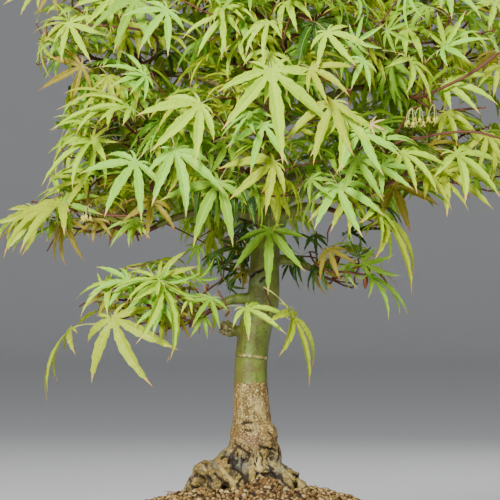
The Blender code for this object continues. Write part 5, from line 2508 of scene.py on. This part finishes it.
@dataclass
class Blossoms:
    """The small flowers, in hanging clusters on pale stalks, and the buds at twig ends."""

    crown: Crown
    shown: tuple[Triple, ...] = (
        (412, 108, -0.080),
        (420, 107, -0.080),
        (434, 104, -0.075),
        (87, 206, -0.055),
    )
    shown_buds: tuple[tuple[float, float, float, float], ...] = (
        (366, 276, 365, 289),
        (208, 284, 206, 291),
        (56, 27, 53, 34),
        (229, 312, 225, 317),
    )
    more: int = 12
    bud_chance: float = 0.2
    bud_length: float = 0.0032
    stalk: float = 0.0085
    stalk_radius: float = 0.00034
    flower_radius: float = 0.00115
    leaf_reach: float = 0.06
    seed: int = 11

    def __post_init__(self) -> None:
        """Starts with no flowers."""
        self.rule = random.Random(self.seed)
        self.stalks = Shell()
        self.flowers = Shell()
        self.buds = Shell()

    def _tips(self, foot: Vector) -> list[Vector]:
        """Where the flowers of a cluster hang.

        Args:
            foot: Where the cluster leaves its twig.

        Returns:
            The flowers' places.
        """
        tips = []
        turn = self.rule.uniform(0, math.tau)
        for i in range(self.rule.randint(3, 4)):
            way = compass(turn + 2.1 * i) * self.rule.uniform(0.2, 0.6)
            tips.append(foot + (way - UP).normalized() * (self.stalk * self.rule.uniform(0.75, 1.25)))
        return tips

    def _hang(self, foot: Vector, tips: Sequence[Vector]) -> None:
        """Adds a cluster: stalks that arch down from a twig, each with a flower.

        Args:
            foot: Where it leaves its twig.
            tips: The flowers' places.
        """
        for tip in tips:
            middle = foot.lerp(tip, 0.5)
            corner = Vector((tip.x, tip.y, middle.z + (foot.z - middle.z) * 0.6))
            radii = [self.stalk_radius * swell for swell in (1.3, 1.0, 0.9, 1.2)]
            self.stalks.tube(bent(foot, corner, tip, 4), radii, 4)
            size = self.flower_radius * self.rule.uniform(0.8, 1.2)
            self.flowers.ball(tip, (size, size, size * 1.25), rings=4, sides=6)
            for i in range(5):
                turn = math.tau * i / 5 + self.rule.uniform(-0.3, 0.3)
                way = (compass(turn) * 0.8 - UP).normalized()
                self.flowers.tube([tip, tip + way * (size * 2.4)], [size * 0.35, size * 0.16], 3)

    def hang_shown(self) -> None:
        """Hangs the clusters that the photo shows, each on a twig of its own."""
        for column, row, depth in self.shown:
            foot = VIEW.at((column, row), depth)
            self.crown.nearest(foot).carry_twig([foot], 1)
            tips = self._tips(foot)
            self._hang(foot, tips)
            self.crown.seen.append((foot, tips))

    def hang_more(self) -> None:
        """Hangs clusters from other twigs where they are clear of the leaves, and adds buds."""
        places = [
            (foliage, node)
            for foliage in self.crown.foliage
            for node in range(2, len(foliage.nodes))
            if foliage.bearers[node] and foliage.mass.middle.z < foliage.nodes[node].z + foliage.mass.up
        ]
        self.rule.shuffle(places)
        left = self.more
        for foliage, node in places:
            foot = foliage.nodes[node]
            tips = self._tips(foot)
            lowest = [tip - UP * self.flower_radius * 2 for tip in tips]
            free = left and not any(SKY.shows(tip) for tip in lowest)
            if free and not self._touches(foot, [*tips, *lowest]):
                self._hang(foot, tips)
                left -= 1
            elif self.rule.random() < self.bud_chance:
                self._add_bud(foot, foliage.heading(node) * self.bud_length)

    def _touches(self, foot: Vector, places: Sequence[Vector]) -> bool:
        """Whether any of the places is too close to a leaf.

        Args:
            foot: The cluster's foot.
            places: The places.

        Returns:
            True if one is.
        """
        reach = self.flower_radius * 1.5
        for hub, blade in zip(self.crown.hubs, self.crown.blades):
            near = (hub - foot).length < self.leaf_reach
            if near and any(blade.find_nearest(place, reach)[0] for place in places):
                return True
        return False

    def _add_bud(self, foot: Vector, way: Vector) -> None:
        """Adds a bud: a small pointed spindle along its way."""
        path = [foot + way * share for share in (0.0, 0.3, 0.6, 0.85, 1.0)]
        radii = [way.length * swell for swell in (0.12, 0.24, 0.22, 0.12, 0.03)]
        self.buds.tube(path, radii, 6)

    def build(self) -> None:
        """Makes the stalks, the flowers and the buds, as three pieces."""
        for column, row, tip_column, tip_row in self.shown_buds:
            foliage = self.crown.nearest(VIEW.at((column, row), 0.0))
            nearest = min(
                (node for mass in self.crown.foliage for node in mass.nodes[1:]),
                key=lambda node: (Vector(VIEW.pixel(node)) - Vector((column, row))).length,
            )
            foot = VIEW.at((column, row), nearest.y)
            foliage.carry_twig([foot], 1)
            self._add_bud(foot, VIEW.at((tip_column, tip_row), nearest.y) - foot)
        keep(self.stalks.object("blossom_stalks", STALK), Slot.LEAF)
        keep(self.flowers.object("blossoms", BLOSSOM), Slot.LEAF)
        keep(self.buds.object("buds", BUD), Slot.LEAF)


# Pot and soil


@dataclass
class Pot:
    """The plain oval pot, round its own solid."""

    wall: float = 0.0065
    floor: float = 0.007
    squareness: float = 2.5
    foot_height: float = 0.0055
    foot_inset: float = 0.010
    foot_step: float = 0.004
    lip_height: float = 0.0065
    lip_overhang: float = 0.0035
    lip_round: float = 0.0015
    belly: float = 0.0022
    corner: float = 0.004
    drain_radius: float = 0.007
    drain_spacing: float = 0.110
    sides: int = 192
    finish: StonewareFinish = field(default_factory=StonewareFinish)

    def __post_init__(self) -> None:
        """Takes the outer sizes from the solid."""
        low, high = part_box("pot")
        self.half_length = (high.x - low.x) / 2
        self.half_width = (high.y - low.y) / 2
        self.height = high.z

    def profile(self) -> list[Pair]:
        """The wall's section: inset from the outline and level, up the outside and down again.

        Returns:
            The rows of inset and level.
        """
        under = self.height - self.lip_height
        inside = self.lip_overhang + self.wall
        foot = self.foot_inset + self.foot_step
        turns = [math.pi / 2 * i / 4 for i in range(5)]
        bend = [(self.lip_round * (1 - math.sin(a)), self.lip_round * (1 - math.cos(a))) for a in turns]
        rows = [(foot + 0.0006, 0.0), (foot, 0.0006), (foot, self.foot_height - 0.0012)]
        rows.append((foot - 0.0008, self.foot_height))
        rows.append((self.foot_inset + 0.0008, self.foot_height + 0.0005))
        for i in range(9):
            t = i / 8
            inset = self.foot_inset + (self.lip_overhang - self.foot_inset) * t
            inset -= self.belly * math.sin(math.pi * t)
            level = self.foot_height + 0.0016 + (under - self.foot_height - 0.0016) * t
            rows.append((inset, level))
        rows += [(self.lip_overhang - 0.0002, under + 0.0001), (self.lip_round, under + 0.0002)]
        rows += [(rest, under + up + 0.0003) for rest, up in bend]
        rows += [(inset, self.height - down) for down, inset in bend]
        rows += [(inside - back, self.height - down) for back, down in bend]
        low = self.foot_inset + self.wall
        rows += [(low, self.floor + self.corner), (low + 0.0012, self.floor + 0.0012)]
        rows.append((low + self.corner, self.floor))
        return rows

    def build(self) -> bpy.types.Object:
        """Makes the pot with its two drain holes.

        Returns:
            The finished piece.
        """
        shell = Shell()
        rings = []
        for inset, level in self.profile():
            length, width = self.half_length - inset, self.half_width - inset
            rings.append(oval(length, width, level, self.sides, self.squareness))
        shell.loft(rings)
        rough = shell.object("rough_pot", self.finish)
        drains = Shell()
        for side in (-1, 1):
            centre = Vector((side * self.drain_spacing / 2, 0, -self.drain_radius))
            path = [centre, centre + UP * (self.floor + self.drain_radius * 2)]
            drains.tube(path, [self.drain_radius] * 2, 48)
        cutter = drains.object("drains", self.finish)
        cut = rough.modifiers.new("drains", "BOOLEAN")
        cut.operation = "DIFFERENCE"
        cut.object = cutter
        pot = applied(rough, "pot_body")
        bpy.data.objects.remove(cutter, do_unlink=True)
        pot.data.shade_smooth()
        pot.data.set_sharp_from_angle(angle=math.radians(50))
        keep(pot, Slot.STONEWARE, "pot")
        return pot


@dataclass
class Soil:
    """The mound of clay soil in the pot: a dark body, grains that cover it, and root fibres."""

    pot: Pot
    plateau: float = 0.037
    mound_power: float = 1.6
    lump_height: float = 0.0022
    lumps_per_metre: float = 43
    gap: float = 0.00045
    below_rim: float = 0.004
    relief: float = 0.0012
    heap: Triple = (0.0050, -0.0270, 0.0085)
    heap_radius: float = 0.0105
    sides: int = 160
    slope_rings: int = 34
    plateau_rings: int = 18
    grain_size: float = 0.0021
    grain_sizes: Pair = (0.38, 0.78)
    grain_spacing: float = 0.0019
    grain_density: float = 600000.0
    grain_kinds: tuple[int, ...] = (0, 1, 0, 2, 1, 3, 0, 2, 1, 0, 1, 2)
    fibres: int = 46
    fibre_lengths: Pair = (0.004, 0.011)
    fibre_radii: tuple[float, ...] = (0.00028, 0.00026, 0.00022, 0.00018, 0.0001)
    seed: int = 7
    finish: SoilFinish = field(default_factory=SoilFinish)

    def _surface(self) -> list[list[Vector]]:
        """Rings over the mound, from the wall to near the middle.

        Returns:
            The rings, the lowest first.
        """
        pot = self.pot
        rim = pot.height - self.below_rim
        edge = pot.lip_overhang + pot.wall + self.gap
        low = pot.foot_inset + pot.wall + self.gap
        edge += (low - edge) * self.below_rim / (pot.height - pot.floor - pot.corner)
        top = GROUND - 0.0006
        rings = []
        for k in range(self.slope_rings):
            t = k / self.slope_rings
            length = (pot.half_length - edge) * (1 - t) + self.plateau * t
            width = (pot.half_width - edge) * (1 - t) + self.plateau * t
            level = rim + (top - rim) * t**self.mound_power
            square = pot.squareness * (1 - t) + 2 * t
            ring = oval(length, width, level, self.sides, square)
            for point in ring:
                lump = noise.noise(point * self.lumps_per_metre) * self.lump_height
                point.z += lump * 4 * t * (1 - t)
            rings.append(ring)
        for k in range(self.plateau_rings):
            radius = self.plateau * (1 - k / self.plateau_rings)
            rings.append(oval(radius, radius, top, self.sides, 2))
        for k, ring in enumerate(rings):
            fade = min(k / 3, 1)
            for point in ring:
                off = Vector((point.x - self.heap[0], (point.y - self.heap[1]) * 1.3)) / self.heap_radius
                point.z += self.heap[2] * math.exp(-off.length_squared)
                point.z += noise.fractal(point * 130, 0.7, 2, 4) * self.relief * fade
        return rings

    def build(self) -> None:
        """Makes the body, the grains and the fibres."""
        pot = self.pot
        low = pot.foot_inset + pot.wall + self.gap
        surface = self._surface()
        under = []
        for inset, level in ((low + pot.corner, pot.floor + self.gap), (low, pot.floor + pot.corner)):
            length, width = pot.half_length - inset, pot.half_width - inset
            under.append(oval(length, width, level, self.sides, pot.squareness))
        shell = Shell()
        shell.loft([*under, *surface])
        keep(shell.object("soil_body", self.finish), Slot.SOIL, "soil")
        self._add_grains(surface)
        self._add_fibres(surface)

    def _add_grains(self, surface: list[list[Vector]]) -> None:
        """Covers the mound with grains by a node tree.

        Args:
            surface: The mound's rings.
        """
        points = [point for ring in surface for point in ring]
        top = tuple(range(len(points) - self.sides, len(points)))
        bed = mesh_object("grain_bed", points, [*ring_faces(len(surface), self.sides), top])
        patterns = self._grain_patterns()
        inputs = {"Patterns": patterns.collection, "Spacing": self.grain_spacing}
        inputs |= {"Size": self.grain_size, "Seed": self.seed}
        grains = self._grain_scatter().run(bed, inputs, "soil_grains")
        patterns.clear()
        keep(grains, Slot.SOIL)

    def _grain_patterns(self) -> Patterns:
        """A few rough grains of unit size, each in one of the finishes.

        Returns:
            The grains.
        """
        rule = random.Random(self.seed)
        grains = []
        for i, kind in enumerate(self.grain_kinds):
            shell = Shell()
            stretch = [rule.uniform(0.75, 1.2) for _ in range(3)]
            shell.ball(Vector(), stretch, rings=4, sides=5)
            shell.points = [p * (1 + 0.28 * noise.noise(p * 1.4 + UP * i * 7)) for p in shell.points]
            grain = shell.object(f"grain_{i:02d}", GRAINS[kind])
            grain.data.shade_flat()
            grains.append(grain)
        return Patterns("pattern_grains", grains)

    def _grain_scatter(self) -> Scatter:
        """Builds the node tree that strews, turns and sizes the grains.

        Returns:
            The tree.
        """
        tree = Scatter("scatter_grains", {"Spacing": "Float", "Seed": "Int"})
        given = tree.given
        inputs = {"Mesh": given["Geometry"], "Distance Min": given["Spacing"], "Seed": given["Seed"]}
        inputs["Density Max"] = self.grain_density
        settings = {"distribute_method": "POISSON"}
        strewn = tree.node("GeometryNodeDistributePointsOnFaces", settings, inputs)
        turn = tree.drawn("FLOAT_VECTOR", (0, 0, 0), (math.tau, math.tau, math.tau), given["Seed"])
        size = tree.drawn("FLOAT", *self.grain_sizes, 3)
        number = tree.drawn("INT", 0, len(self.grain_kinds) - 1, 5)
        geometry = tree.copies(strewn.outputs["Points"], number, turn, size)
        tree.node("NodeGroupOutput", {}, {0: geometry})
        return tree

    def _add_fibres(self, surface: list[list[Vector]]) -> None:
        """Lays fine root fibres on the soil near the trunk's foot.

        Args:
            surface: The mound's rings.
        """
        rule = random.Random(self.seed + 1)
        shell = Shell()
        for _ in range(self.fibres):
            ring = surface[rule.randrange(len(surface) // 2, len(surface) - 3)]
            start = ring[rule.randrange(len(ring))] + UP * 0.0012
            turn = rule.uniform(0, math.tau)
            length = rule.uniform(*self.fibre_lengths)
            way = compass(turn, rule.uniform(0.0, 0.35)) * length
            bow = Vector((-way.y, way.x, 0)) * rule.uniform(-0.3, 0.3) + UP * 0.0006
            path = bent(start, start + way * 0.5 + bow, start + way, len(self.fibre_radii))
            shell.tube(path, self.fibre_radii, 4)
        keep(shell.object("soil_fibres", FIBRE), Slot.SOIL)


# Studio


@dataclass(frozen=True)
class Light:
    """A soft lamp: where it hangs, its size and its power."""

    name: str
    place: Triple
    size: float
    power: float


@dataclass
class Studio:
    """The camera, the lights and a pale floor that turns up into a wall all round."""

    sensor: float = 0.036
    floor_radius: float = 6.0
    wall_turn: float = 1.2
    wall_height: float = 5.0
    sky_colour: Colour = (0.9, 0.93, 1.0)
    sky_strength: float = 0.24
    lights: tuple[Light, ...] = (
        Light("key", (-0.55, -1.75, 1.16), 0.4, 78),
        Light("fill", (1.3, -1.5, 0.5), 1.0, 6),
        Light("top", (0.1, 0.0, 1.7), 0.8, 9),
        Light("rim", (0.5, 1.5, 1.1), 1.0, 6),
    )

    def build(self) -> None:
        """Makes the camera, the lights, the world and the floor."""
        scene = bpy.context.scene
        camera = bpy.data.cameras.new("camera")
        camera.sensor_width = self.sensor * 1000
        camera.lens = camera.sensor_width * VIEW.distance / VIEW.width
        scene.camera = self._aimed("camera", camera, VIEW.eye)
        for light in self.lights:
            lamp = bpy.data.lights.new(light.name, "AREA")
            lamp.size = light.size
            lamp.energy = light.power
            self._aimed(light.name, lamp, light.place)
        world = bpy.data.worlds.new("studio")
        world.use_nodes = True
        sky = world.node_tree.nodes["Background"].inputs
        sky["Color"].default_value = (*self.sky_colour, 1)
        sky["Strength"].default_value = self.sky_strength
        scene.world = world
        self._build_floor()

    @staticmethod
    def _aimed(name: str, data: bpy.types.ID, place: Sequence[float]) -> bpy.types.Object:
        """Places a lamp or the camera, and turns it to the middle of the view."""
        obj = linked(name, data)
        obj.location = place
        obj.rotation_euler = (Vector(VIEW.target) - obj.location).to_track_quat("-Z", "Y").to_euler()
        return obj

    def _build_floor(self) -> None:
        """Makes the floor: flat under the pot, with a wall that curves up from it."""
        sides = 96
        rings = [(0.4, 0.0), (self.floor_radius, 0.0)]
        for i in range(1, 13):
            turn = math.pi / 2 * i / 12
            out, up = self.wall_turn * math.sin(turn), self.wall_turn * (1 - math.cos(turn))
            rings.append((self.floor_radius + out, up))
        rings.append((self.floor_radius + self.wall_turn, self.wall_height))
        points = [point for radius, level in rings for point in oval(radius, radius, level, sides, 2)]
        faces = [tuple(range(sides)), *(face[::-1] for face in ring_faces(len(rings), sides))]
        floor = mesh_object("floor", points, faces, [STUDIO.material()])


def main() -> None:
    """Builds the bonsai piece by piece."""
    logging.basicConfig(level=logging.INFO, format="%(name)s: %(message)s")
    Studio().build()
    pot = Pot()
    pot.build()
    Soil(pot).build()
    trunk = Trunk()
    wood = trunk.build()
    Crown(trunk, wood, Habit()).build()


if __name__ == "__main__":
    main()
